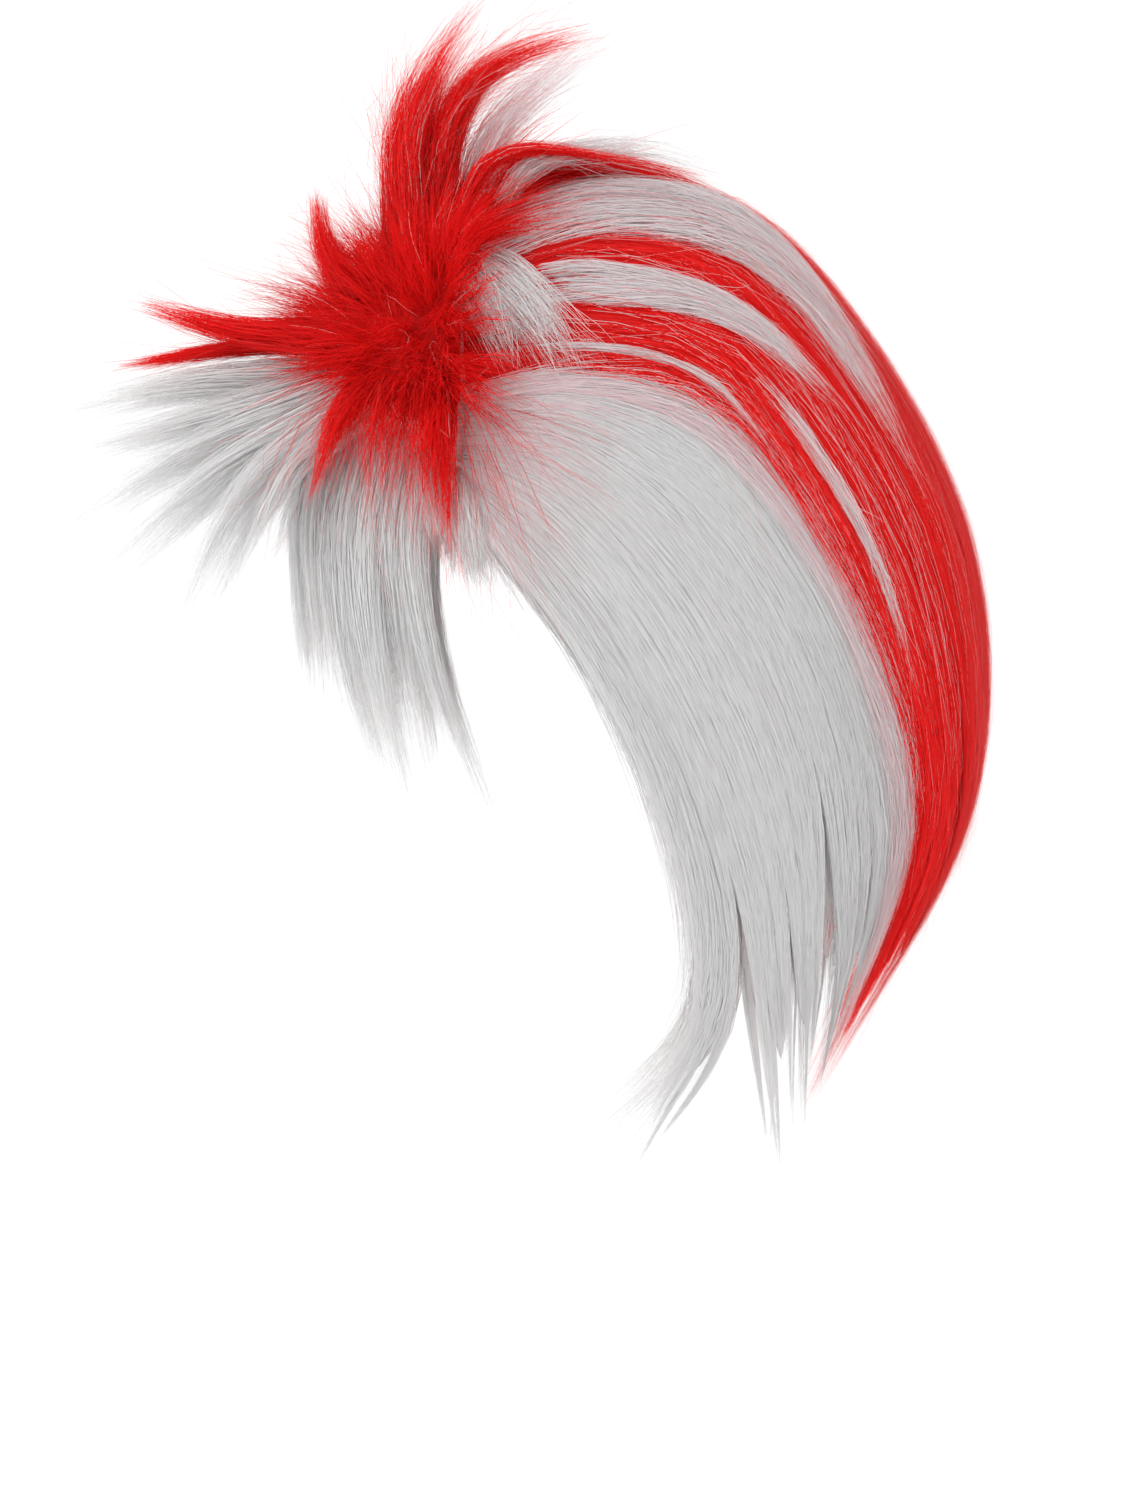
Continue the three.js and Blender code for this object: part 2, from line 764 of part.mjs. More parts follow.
// Every piece of hair as the solids that it is fused from, in the order in which they take up space
const bothSides = (lock) => [lock, { ...lock, course: lock.course.map(mirrored) }];
const pieces = [];
for (const { name, zone, colour, across, both, locks } of TUFTS) {
  const sides = both ? [["_left", 1], ["_right", -1]] : [["", 1]];
  for (const [suffix, side] of sides) {
    const hint = point(side > 0 ? across : mirrored(across));
    const rows = side > 0 ? locks : locks.map((lock) => bothSides(lock)[1]);
    const build = (grow) => rows.map((lock) => tuftLock(lock, hint, TUFT_STEPS, grow));
    pieces.push({ name: name + suffix, zone, colour, build });
  }
}
for (const stripe of STRIPES) {
  for (const [suffix, side] of [["_left", 1], ["_right", -1]]) {
    const build = (grow) => stripeSolids(stripe, side, grow);
    pieces.push({ name: stripe.name + suffix, zone: "back", colour: "white", build });
  }
}
for (const panel of PANELS) {
  const { name, zone, colour } = panel;
  pieces.push({ name, zone, colour, build: (grow) => panelSolids(panel, grow) });
}
pieces.push({
  name: "front_fur",
  zone: "front",
  colour: "red",
  build: (grow) => [
    backingSolid(FRONT_BACKING, grow),
    ...FRONT_FUR.flatMap((row) => row.leans.map((lean) => furLock(row, lean, grow))),
    ...FALLING_FUR.flatMap(bothSides).map((lock) => tuftLock(lock, SIDEWAYS, TUFT_STEPS, grow)),
  ],
});
pieces.push({
  name: "back_underlayer",
  zone: "back",
  colour: "red",
  build: (grow) => [
    tuftLock(UNDERLAYER[0], CROSSWISE, TUFT_STEPS, grow),
    ...UNDERLAYER.slice(1).flatMap(bothSides).map((lock) => tuftLock(lock, CROSSWISE, TUFT_STEPS, grow)),
  ],
});

const fuse = (solids) => wasm.Manifold.union(solids);
const largest = (solid) => solid.decompose().reduce((a, b) => (a.volume() > b.volume() ? a : b));

function meshOf(name, colour, solid) {
  const { vertProperties, triVerts } = solid.getMesh();
  const geometry = new THREE.BufferGeometry();
  geometry.setAttribute("position", new THREE.BufferAttribute(vertProperties, 3));
  geometry.setIndex(new THREE.BufferAttribute(triVerts, 1));
  geometry.computeVertexNormals();
  const mesh = new THREE.Mesh(geometry, new THREE.MeshStandardMaterial(COLOURS[colour]));
  mesh.name = name;
  return mesh;
}

const wig = new THREE.Group();
wig.name = "mullet_wig";
wig.add(meshOf("cap", "cap", capSolid()));
const zones = {};
let taken = seatSolid();
for (const { name, zone, colour, build } of pieces) {
  if (!zones[zone]) {
    zones[zone] = new THREE.Group();
    wig.add(zones[zone]);
  }
  const shaped = largest(fuse(build(0)).subtract(taken).simplify(SLIVER));
  zones[zone].add(meshOf(name, colour, shaped));
  taken = taken.add(fuse(build(HAIR_GAP)));
}

export default wig;
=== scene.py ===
"""A mullet wig of red and white fake fur: most locks are a soft core covered with fine strands."""
import math

import bpy
import numpy as np
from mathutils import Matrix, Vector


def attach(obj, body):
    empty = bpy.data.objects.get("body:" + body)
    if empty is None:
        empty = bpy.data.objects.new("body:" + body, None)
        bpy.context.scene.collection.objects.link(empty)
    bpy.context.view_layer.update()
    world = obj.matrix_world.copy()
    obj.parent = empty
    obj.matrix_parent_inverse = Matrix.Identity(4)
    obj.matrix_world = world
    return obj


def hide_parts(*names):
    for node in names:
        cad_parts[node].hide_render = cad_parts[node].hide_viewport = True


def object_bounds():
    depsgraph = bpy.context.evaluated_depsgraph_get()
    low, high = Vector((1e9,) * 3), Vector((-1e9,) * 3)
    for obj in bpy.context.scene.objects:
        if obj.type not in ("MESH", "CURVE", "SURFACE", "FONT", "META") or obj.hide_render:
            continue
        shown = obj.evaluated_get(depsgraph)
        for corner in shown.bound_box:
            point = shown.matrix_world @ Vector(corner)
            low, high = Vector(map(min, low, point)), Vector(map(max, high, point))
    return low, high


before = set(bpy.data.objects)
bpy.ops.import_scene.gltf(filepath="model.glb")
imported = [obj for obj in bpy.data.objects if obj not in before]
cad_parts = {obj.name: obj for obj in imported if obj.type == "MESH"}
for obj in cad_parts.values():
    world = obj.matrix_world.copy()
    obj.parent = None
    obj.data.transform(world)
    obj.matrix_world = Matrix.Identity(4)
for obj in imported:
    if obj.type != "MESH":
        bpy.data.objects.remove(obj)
cad_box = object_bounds()

MM = 0.001
SEED = 8

# The photograph: its frame in pixels, pixels to a millimetre at the wig's middle, and the camera's place
PHOTO_HEIGHT = 1500
PHOTO_SCALE = 2.3
CAMERA_DISTANCE = 2.0
CAMERA_BACK = 7.8 * MM
CAMERA_UP = -231.3 * MM
SENSOR = 36.0

# The cap's inside is an ellipsoid whose top is at the origin. Its edge drops by the angle from the front
CAP_AXES = np.array([77.0, 95.0, 103.0])
CAP_CENTRE = np.array([0.0, 0.0, -103.0])
CAP_WALL = 2.0
SEAT_CLEARANCE = 0.6
RIM_AROUND = [0, 45, 80, 110, 145, 180]
RIM_DROP = [74, 92, 120, 124, 152, 165]

# Lines of the long hair's outer surface, from the middle of the back round to the front edge of the side.
# Each has a point at the root, crest, shoulder, back, belly, hem and tip
FLOW = [
    [[0, -34, 3], [0, 24, 16], [0, 86, 6], [0, 148, -62],
     [0, 188, -150], [0, 186, -255], [0, 120, -378]],
    [[35, -34, -10], [40, 24, 4], [44, 84, -8], [48, 140, -72],
     [46, 176, -155], [38, 180, -258], [10, 119, -378]],
    [[63, -34, -38], [72, 24, -27], [76, 78, -42], [78, 124, -100],
     [70, 156, -172], [56, 168, -262], [16, 118, -378]],
    [[79, -34, -77], [88, 20, -74], [92, 68, -86], [90, 108, -132],
     [80, 138, -188], [62, 156, -258], [24, 118, -376]],
    [[82, -34, -95], [92, 8, -94], [100, 56, -122], [102, 94, -172],
     [96, 118, -232], [82, 124, -300], [50, 116, -372]],
    [[83, -36, -110], [92, -2, -124], [102, 36, -164], [104, 70, -222],
     [96, 92, -286], [82, 98, -342], [60, 98, -404]],
    [[80, -40, -122], [88, -16, -152], [98, 14, -190], [98, 42, -240],
     [86, 62, -302], [72, 60, -348], [54, 20, -396]],
]
FLOW_EDGE = len(FLOW) - 1
LINE_STEPS = 10
ALONG_SAMPLES = 65

# Share of its full size that a lock has at its root, and the stretch of its course over which it is full
TUFT_SWELL = dict(root=0.85, full_from=0.25, full_to=0.3)
PANEL_WIDTH_SWELL = dict(root=1.0, full_from=0.1, full_to=0.62)
PANEL_DEPTH_SWELL = dict(root=0.6, full_from=0.2, full_to=0.55)
TAPER_POWER = 1.4
CORE_TAPER_LOSS = 0.96

LEFT_AND_RIGHT = [("_left", 1), ("_right", -1)]


# Curves and tables

TINY = 1e-9
SMALL = 1e-6
CURVE_STEPS = 24
KNOT_POWER = 0.5


def unit(vectors):
    length = np.linalg.norm(vectors, axis=-1, keepdims=True)
    return vectors / np.maximum(length, TINY)


def catmull_rom(points, per_span, power):
    """A curve through points. Its knots are spaced by a power of the distance, so 0 spaces them evenly."""
    points = np.asarray(points, float)
    knots = np.vstack([2 * points[0] - points[1], points, 2 * points[-1] - points[-2]])
    t = np.linspace(0, 1, per_span, endpoint=False)[:, None]
    spans = []
    for a, b, c, d in zip(knots, knots[1:], knots[2:], knots[3:]):
        ab, bc, cd = (max(np.linalg.norm(q - p), TINY) ** power for p, q in ((a, b), (b, c), (c, d)))
        leaving = ((b - a) / ab - (c - a) / (ab + bc) + (c - b) / bc) * bc
        arriving = ((c - b) / bc - (d - b) / (bc + cd) + (d - c) / cd) * bc
        bend = 2 * b - 2 * c + leaving + arriving
        sway = -3 * b + 3 * c - 2 * leaving - arriving
        spans.append(((bend * t + sway) * t + leaving) * t + b)
    return np.vstack(spans + [points[-1:]])


def evenly(points, count):
    """The same curve with count points at equal distances."""
    steps = np.linalg.norm(np.diff(points, axis=0), axis=1)
    travelled = np.concatenate([[0], np.cumsum(steps)])
    wanted = np.linspace(0, travelled[-1], count)
    return np.stack([np.interp(wanted, travelled, axis) for axis in points.T], axis=1)


def curve(points):
    return evenly(catmull_rom(points, CURVE_STEPS, KNOT_POWER), ALONG_SAMPLES)


def sampled(table, along):
    """Rows of a table at shares of its length, carried straight on past its ends."""
    last = len(table) - 1
    spot = np.asarray(along, float) * last
    low = np.clip(np.floor(spot).astype(int), 0, last - 1)
    part = (spot - low)[..., None]
    return table[low] * (1 - part) + table[low + 1] * part


def smooth(t):
    t = np.clip(t, 0, 1)
    return t * t * (3 - 2 * t)


def swell(along, loss, root, full_from, full_to):
    rise = root + (1 - root) * smooth(along / full_from)
    fall = np.clip((along - full_to) / (1 - full_to), 0, 1)
    return np.where(along < full_from, rise, 1 - loss * fall**TAPER_POWER)


# The long hair's outer surface as a grid of places and directions

def flow_grid():
    lines = [[[-x, y, z] for x, y, z in line] for line in FLOW[:0:-1]] + FLOW
    stations = np.asarray(lines, float).swapaxes(0, 1)
    across_lines = np.stack([catmull_rom(station, LINE_STEPS, 0) for station in stations], axis=1)
    places = np.stack([curve(line) for line in across_lines])
    forward = unit(np.gradient(places, axis=1))
    across = np.gradient(places, axis=0)
    across = unit(across - (across * forward).sum(-1, keepdims=True) * forward)
    return places, np.cross(across, forward)


FLOW_PLACES, FLOW_OUT = flow_grid()


def on_flow(grid, line, along):
    """Values of a grid of the flow at lines and shares along them, carried straight on past the ends."""
    rows, columns = grid.shape[0] - 1, grid.shape[1] - 1
    row = (np.asarray(line, float) + FLOW_EDGE) * LINE_STEPS
    column = np.asarray(along, float) * columns
    upper = np.clip(np.floor(row).astype(int), 0, rows - 1)
    left = np.clip(np.floor(column).astype(int), 0, columns - 1)
    down = (row - upper)[..., None]
    right = (column - left)[..., None]
    top = grid[upper, left] * (1 - right) + grid[upper, left + 1] * right
    bottom = grid[upper + 1, left] * (1 - right) + grid[upper + 1, left + 1] * right
    return top * (1 - down) + bottom * down


# Meshes: each part is its points, its faces by their number of corners, and a place on the bake's map

SHADE_MARGIN = 0.004
MAP_FOOT = 0.01
STRAND_TAPER = 0.8
STRAND_TAPER_POWER = 1.5
CORE_SIDES = 8
CORE_RINGS = 14
CORE_MAP = (0.1, 0.9)
CORE_MAP_TIP = 0.95
CORE_RIPPLE = 0.02
SHEET_MAP = (0.3, 0.95)
SHEET_RIPPLE = 0.03
SHEET_RIPPLE_RATE = 5


def ribbons(points, facing, half_width, twist, shade):
    """Strands as flat ribbons. Shade runs across the map and the way from root to tip runs up it."""
    count, stations = points.shape[:2]
    share = np.linspace(0, 1, stations)
    forward = unit(np.gradient(points, axis=1))
    side = unit(np.cross(forward, facing))
    side = side * np.cos(twist)[:, None, None] + np.cross(forward, side) * np.sin(twist)[:, None, None]
    reach = (half_width[:, None] * (1 - STRAND_TAPER * share**STRAND_TAPER_POWER))[..., None]
    verts = np.stack([points - side * reach, points + side * reach], axis=2).reshape(-1, 3)
    first = (np.arange(count)[:, None] * stations + np.arange(stations - 1)) * 2
    quads = np.stack([first, first + 1, first + 3, first + 2], axis=-1).reshape(-1, 4)
    u = np.clip(shade, SHADE_MARGIN, 1 - SHADE_MARGIN)[:, None, None] + np.array([-1, 1]) * SHADE_MARGIN / 2
    u = np.broadcast_to(u, (count, stations, 2))
    v = np.broadcast_to(MAP_FOOT + (1 - 2 * MAP_FOOT) * share[None, :, None], (count, stations, 2))
    return verts, [quads], np.stack([u, v], axis=-1).reshape(-1, 2)


def tube_quads(rings, sides):
    """Faces between neighbouring rings, with the corners of one ring and those after them."""
    corner = np.arange(sides)
    after = (corner + 1) % sides
    ring = np.arange(rings - 1)[:, None] * sides
    quads = np.stack([ring + corner, ring + sides + corner, ring + sides + after, ring + after], axis=-1)
    return quads.reshape(-1, 4), corner, after


def loft(centre, across, out, half_width, half_depth, shade):
    """A closed lock through rings of its course, drawn to a point at the tip."""
    rings = len(centre) - 1
    turn = np.linspace(0, 2 * np.pi, CORE_SIDES, endpoint=False)
    wide = across[:-1, None] * (half_width[:-1, None] * np.cos(turn))[..., None]
    deep = out[:-1, None] * (half_depth[:-1, None] * np.sin(turn))[..., None]
    body = (centre[:-1, None] + wide + deep).reshape(-1, 3)
    verts = np.vstack([body, centre[:1], centre[-1:]])
    root, tip = len(body), len(body) + 1
    quads, corner, after = tube_quads(rings, CORE_SIDES)
    last = (rings - 1) * CORE_SIDES
    foot = np.stack([np.full(CORE_SIDES, root), corner, after], axis=-1)
    point = np.stack([np.full(CORE_SIDES, tip), last + after, last + corner], axis=-1)
    v = np.append(np.repeat(np.linspace(*CORE_MAP, rings), CORE_SIDES), [CORE_MAP[0], CORE_MAP_TIP])
    u = shade + CORE_RIPPLE * np.sin(np.arange(len(verts)))
    return verts, [quads, np.vstack([foot, point])], np.stack([u, v], axis=-1)


def sheet(outer, inner, shade):
    """A closed sheet between two grids of points, the outer one facing out."""
    rows, columns = outer.shape[:2]
    size = rows * columns
    corner = (np.arange(rows - 1)[:, None] * columns + np.arange(columns - 1)).ravel()
    top = np.stack([corner, corner + 1, corner + columns + 1, corner + columns], axis=-1)
    rim = np.concatenate([
        np.arange(columns), np.arange(1, rows) * columns + columns - 1,
        (rows - 1) * columns + np.arange(columns - 2, -1, -1), np.arange(rows - 2, 0, -1) * columns,
    ])
    after = np.roll(rim, -1)
    wall = np.stack([rim, rim + size, after + size, after], axis=-1)
    verts = np.vstack([outer.reshape(-1, 3), inner.reshape(-1, 3)])
    v = np.repeat(np.linspace(*SHEET_MAP, rows), columns)
    u = shade + SHEET_RIPPLE * np.sin(SHEET_RIPPLE_RATE * np.tile(np.arange(columns), rows))
    place = np.tile(np.stack([u, v], axis=-1), (2, 1))
    return verts, [np.vstack([top, top[:, ::-1] + size, wall])], place


def make_mesh(name, parts):
    offsets = np.cumsum([0] + [len(verts) for verts, _, _ in parts])
    verts = np.vstack([part[0] for part in parts]) * MM
    faces = [block + offset for (_, blocks, _), offset in zip(parts, offsets) for block in blocks]
    places = np.vstack([part[2] for part in parts])
    loops = np.concatenate([block.ravel() for block in faces])
    sizes = np.concatenate([np.full(len(block), block.shape[1]) for block in faces])
    mesh = bpy.data.meshes.new(name)
    mesh.vertices.add(len(verts))
    mesh.vertices.foreach_set("co", verts.astype(np.float32).ravel())
    mesh.loops.add(len(loops))
    mesh.loops.foreach_set("vertex_index", loops.astype(np.int32))
    mesh.polygons.add(len(sizes))
    mesh.polygons.foreach_set("loop_start", np.concatenate([[0], np.cumsum(sizes)[:-1]]).astype(np.int32))
    mesh.polygons.foreach_set("use_smooth", np.ones(len(sizes), bool))
    layer = mesh.uv_layers.new(name="OFBake")
    layer.data.foreach_set("uv", places[loops].astype(np.float32).ravel())
    mesh.update(calc_edges=True)
    mesh.validate()
    return mesh


def add_piece(name, material, parts):
    """A piece that stands for the solid of the same name."""
    piece = bpy.data.objects.new("hair_" + name, make_mesh(name, parts))
    piece.data.materials.append(material)
    bpy.context.scene.collection.objects.link(piece)
    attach(piece, "root")
    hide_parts(name)
    return piece


def outside_cap(points):
    """Points inside the cap, grown by a clearance, are moved out to its surface."""
    axes = CAP_AXES + CAP_WALL + SEAT_CLEARANCE
    centred = points - CAP_CENTRE
    depth = np.linalg.norm(centred / axes, axis=-1, keepdims=True)
    return centred / np.clip(depth, SMALL, 1) + CAP_CENTRE


def add_hair(name, colour, parts):
    parts = [(outside_cap(verts), faces, places) for verts, faces, places in parts]
    add_piece(name, MATERIALS[colour], parts)


# Strands: they stay inside the solids' box, with a little room for what stands proud

ROOM_MARGIN = 9
ROOM = (np.array(cad_box[0]) / MM - ROOM_MARGIN, np.array(cad_box[1]) / MM + ROOM_MARGIN)
SHORTENED = (0.7, 1.0)
LEAST_LENGTH = 0.1
FRIZZ_WAVES = (0.5, 1.7)
FRIZZ_SPREAD = 0.5
STRAND_WIDTHS = (0.7, 1.3)
STRAY_FRIZZ = 2.5
STRAY_BEND = 4.2
STRAY_WIDTH = 0.65
END_SPREAD = 0.03
CLUMP_REACH = 0.9
PULL_POWER = 1.3
MIDDLE_RADIUS = 0.8
CORE_END = 1.02
CORE_END_POWER = 3

# Shades past the first of these are the pale strands among the red. White strands beside the red are pink
DEEP_SHADE = 0.88
PALE_SHADES = (0.93, 0.985)
PINK_SHADES = (0.16, 0.5)


def frizz(rng, count, share, amount):
    """Waves that grow towards the tip, each strand in a direction of its own."""
    waves = rng.uniform(*FRIZZ_WAVES, (count, 1)) * share + rng.uniform(0, 1, (count, 1))
    size = amount[:, None] * share * np.sin(2 * np.pi * waves)
    return unit(rng.normal(size=(count, 1, 3))) * size[..., None]


def finish_strands(rng, points, facing, shade, style, fine=False):
    """Frizz, strays, widths and twists that every kind of strand shares. Some are finer than the rest."""
    count, stations = points.shape[:2]
    share = np.linspace(0, 1, stations)
    stray = rng.random(count) < style["stray"]
    amount = style["frizz"] * rng.lognormal(0, FRIZZ_SPREAD, count) * np.where(stray, STRAY_FRIZZ, 1)
    points = points + frizz(rng, count, share, amount)
    bend = rng.normal(size=(count, 1, 3)) * (style["frizz"] * STRAY_BEND * stray)[:, None, None]
    points = points + bend * (share**2)[:, None]
    half_width = style["thick"] / 2 * rng.uniform(*STRAND_WIDTHS, count)
    half_width = half_width * np.where(stray | fine, STRAY_WIDTH, 1)
    twist = rng.normal(0, style["twist"], count)
    return ribbons(kept_inside(rng, points), facing, half_width, twist, shade)


def kept_inside(rng, points):
    """Strands that would leave the room they have are shortened, each by a length of its own."""
    reach = points - points[:, :1]
    limit = np.where(reach > 0, ROOM[1], ROOM[0]) - points[:, :1]
    moved = np.abs(reach) > SMALL
    fits = np.where(moved, limit / np.where(moved, reach, 1), 1).min((1, 2))
    length = np.where(fits < 1, np.clip(fits, LEAST_LENGTH, 1) * rng.uniform(*SHORTENED, len(points)), 1)
    return points[:, :1] + reach * length[:, None, None]


def lock_path(course, hint):
    """Places along a lock's course, with the directions across it and out of it."""
    centre = curve(course)
    hint = np.broadcast_to(np.asarray(hint, float), centre.shape)
    forward = unit(np.gradient(centre, axis=0))
    across = unit(hint - (hint * forward).sum(-1, keepdims=True) * forward)
    return centre, across, np.cross(across, forward)


def lock_core(path, width, depth, style):
    """The solid middle of a lock, which ends before the strands do. It is drawn in a darker shade than the
    strands, as painted shade.
    """
    along = np.linspace(0, style["core_to"], CORE_RINGS)
    centre, across, out = (sampled(table, along) for table in path)
    share = np.linspace(0, 1, CORE_RINGS)
    size = style["core"] * swell(along, CORE_TAPER_LOSS, **TUFT_SWELL)
    size = size * np.sqrt(CORE_END - share**CORE_END_POWER)
    # Painted shade: the core's colour is darker than the strands around it.
    return loft(centre, across, out, width / 2 * size, depth / 2 * size, style["core_shade"])


def spread_to(own, clumped, pull):
    """Each strand's offset, drawn from its own to its clump's by a share at each point."""
    return own[:, None] * (1 - pull) + clumped[:, None] * pull


def strand_shades(rng, style, clump, radius=MIDDLE_RADIUS):
    """A shade for each strand by its clump, itself and its depth, where the depth darkens the inner strands
    as painted shade, with pale strands among them.
    """
    count = len(clump)
    shade = style["shade"] + rng.normal(0, style["clump_shade"], style["clumps"])[clump]
    shade = shade + rng.normal(0, style["strand_shade"], count)
    # Painted shade: strands deeper inside the lock are darker.
    shade = shade + style["depth_shade"] * (radius - MIDDLE_RADIUS)
    pale = rng.random(count) < style["pale"]
    return np.where(pale, rng.uniform(*PALE_SHADES, count), np.minimum(shade, DEEP_SHADE))


def lock_strands(rng, path, width, depth, style):
    """Strands along a lock's course, spread over its section and gathered in clumps towards the tip."""
    centre, across, out = path
    count = style["strands"]
    share = np.linspace(0, 1, style["stations"])
    start = rng.uniform(*style["start"], count)
    clumps = style["clumps"]
    clump = rng.integers(0, clumps, count)
    clump_end = rng.uniform(*style["end"], clumps)[clump] + rng.normal(0, END_SPREAD, count)
    end = np.minimum(start + rng.uniform(*style["length"], count), clump_end)
    run = start[:, None] + (end - start)[:, None] * share
    turn = rng.uniform(0, 2 * np.pi, count)
    radius = np.sqrt(rng.uniform(style["hollow"], 1, count))
    clump_turn = rng.uniform(0, 2 * np.pi, clumps)
    clump_radius = np.sqrt(rng.random(clumps)) * CLUMP_REACH
    pull = style["pull"] * share**PULL_POWER
    side = spread_to(radius * np.cos(turn), (clump_radius * np.cos(clump_turn))[clump], pull)
    rise = spread_to(radius * np.sin(turn), (clump_radius * np.sin(clump_turn))[clump], pull)
    size = swell(run, style["loss"], **TUFT_SWELL) + style["fan"] * np.maximum(run, 0) ** 2
    size = style["spread"] * size
    wide = sampled(across, run)
    deep = sampled(out, run)
    points = sampled(centre, run) + wide * (width / 2 * side * size)[..., None]
    points = points + deep * (depth / 2 * rise * size)[..., None]
    facing = unit(wide * side[..., None] / width + deep * rise[..., None] / depth)
    return finish_strands(rng, points, facing, strand_shades(rng, style, clump, radius), style)


def lock_parts(rng, lock, hint, style):
    course, width, depth = lock
    path = lock_path(course, hint)
    parts = [lock_strands(rng, path, width, depth, style)]
    if style["core"] > 0:
        parts.append(lock_core(path, width, depth, style))
    return parts


# How the strands of a lock lie: how many and with how many points, the shares of the course where they start,
# how long they are and where they end at the latest, their clumps, spread, waves, thickness and shade
# The cores are drawn darker than their strands, and the inner strands darker than the outer ones: painted
# shade inside the locks.
LOOK = dict(
    strands=650, stations=6, start=(0.0, 0.2), length=(0.45, 1.05), end=(0.62, 1.03), clumps=20, pull=0.6,
    hollow=0.1, spread=1.2, loss=0.3, fan=0.0, frizz=1.4, stray=0.07, thick=0.3, twist=0.6, shade=0.5,
    clump_shade=0.06, strand_shade=0.08, depth_shade=0.2, pale=0.0, core=0.55, core_to=0.5, core_shade=0.35,
)
RED = dict(LOOK, shade=0.52)
WHITE = dict(LOOK, shade=0.56, clump_shade=0.03, strand_shade=0.05, depth_shade=0.05, core_shade=0.5)

# The fringe is drawn a lighter white than the side panels: painted light.
FRINGE_LOOK = dict(
    WHITE, strands=720, clumps=14, pull=0.55, hollow=0.3, spread=1.45, core=0.7, core_to=0.66, frizz=1.1,
    shade=0.74, end=(0.55, 1.06),
)

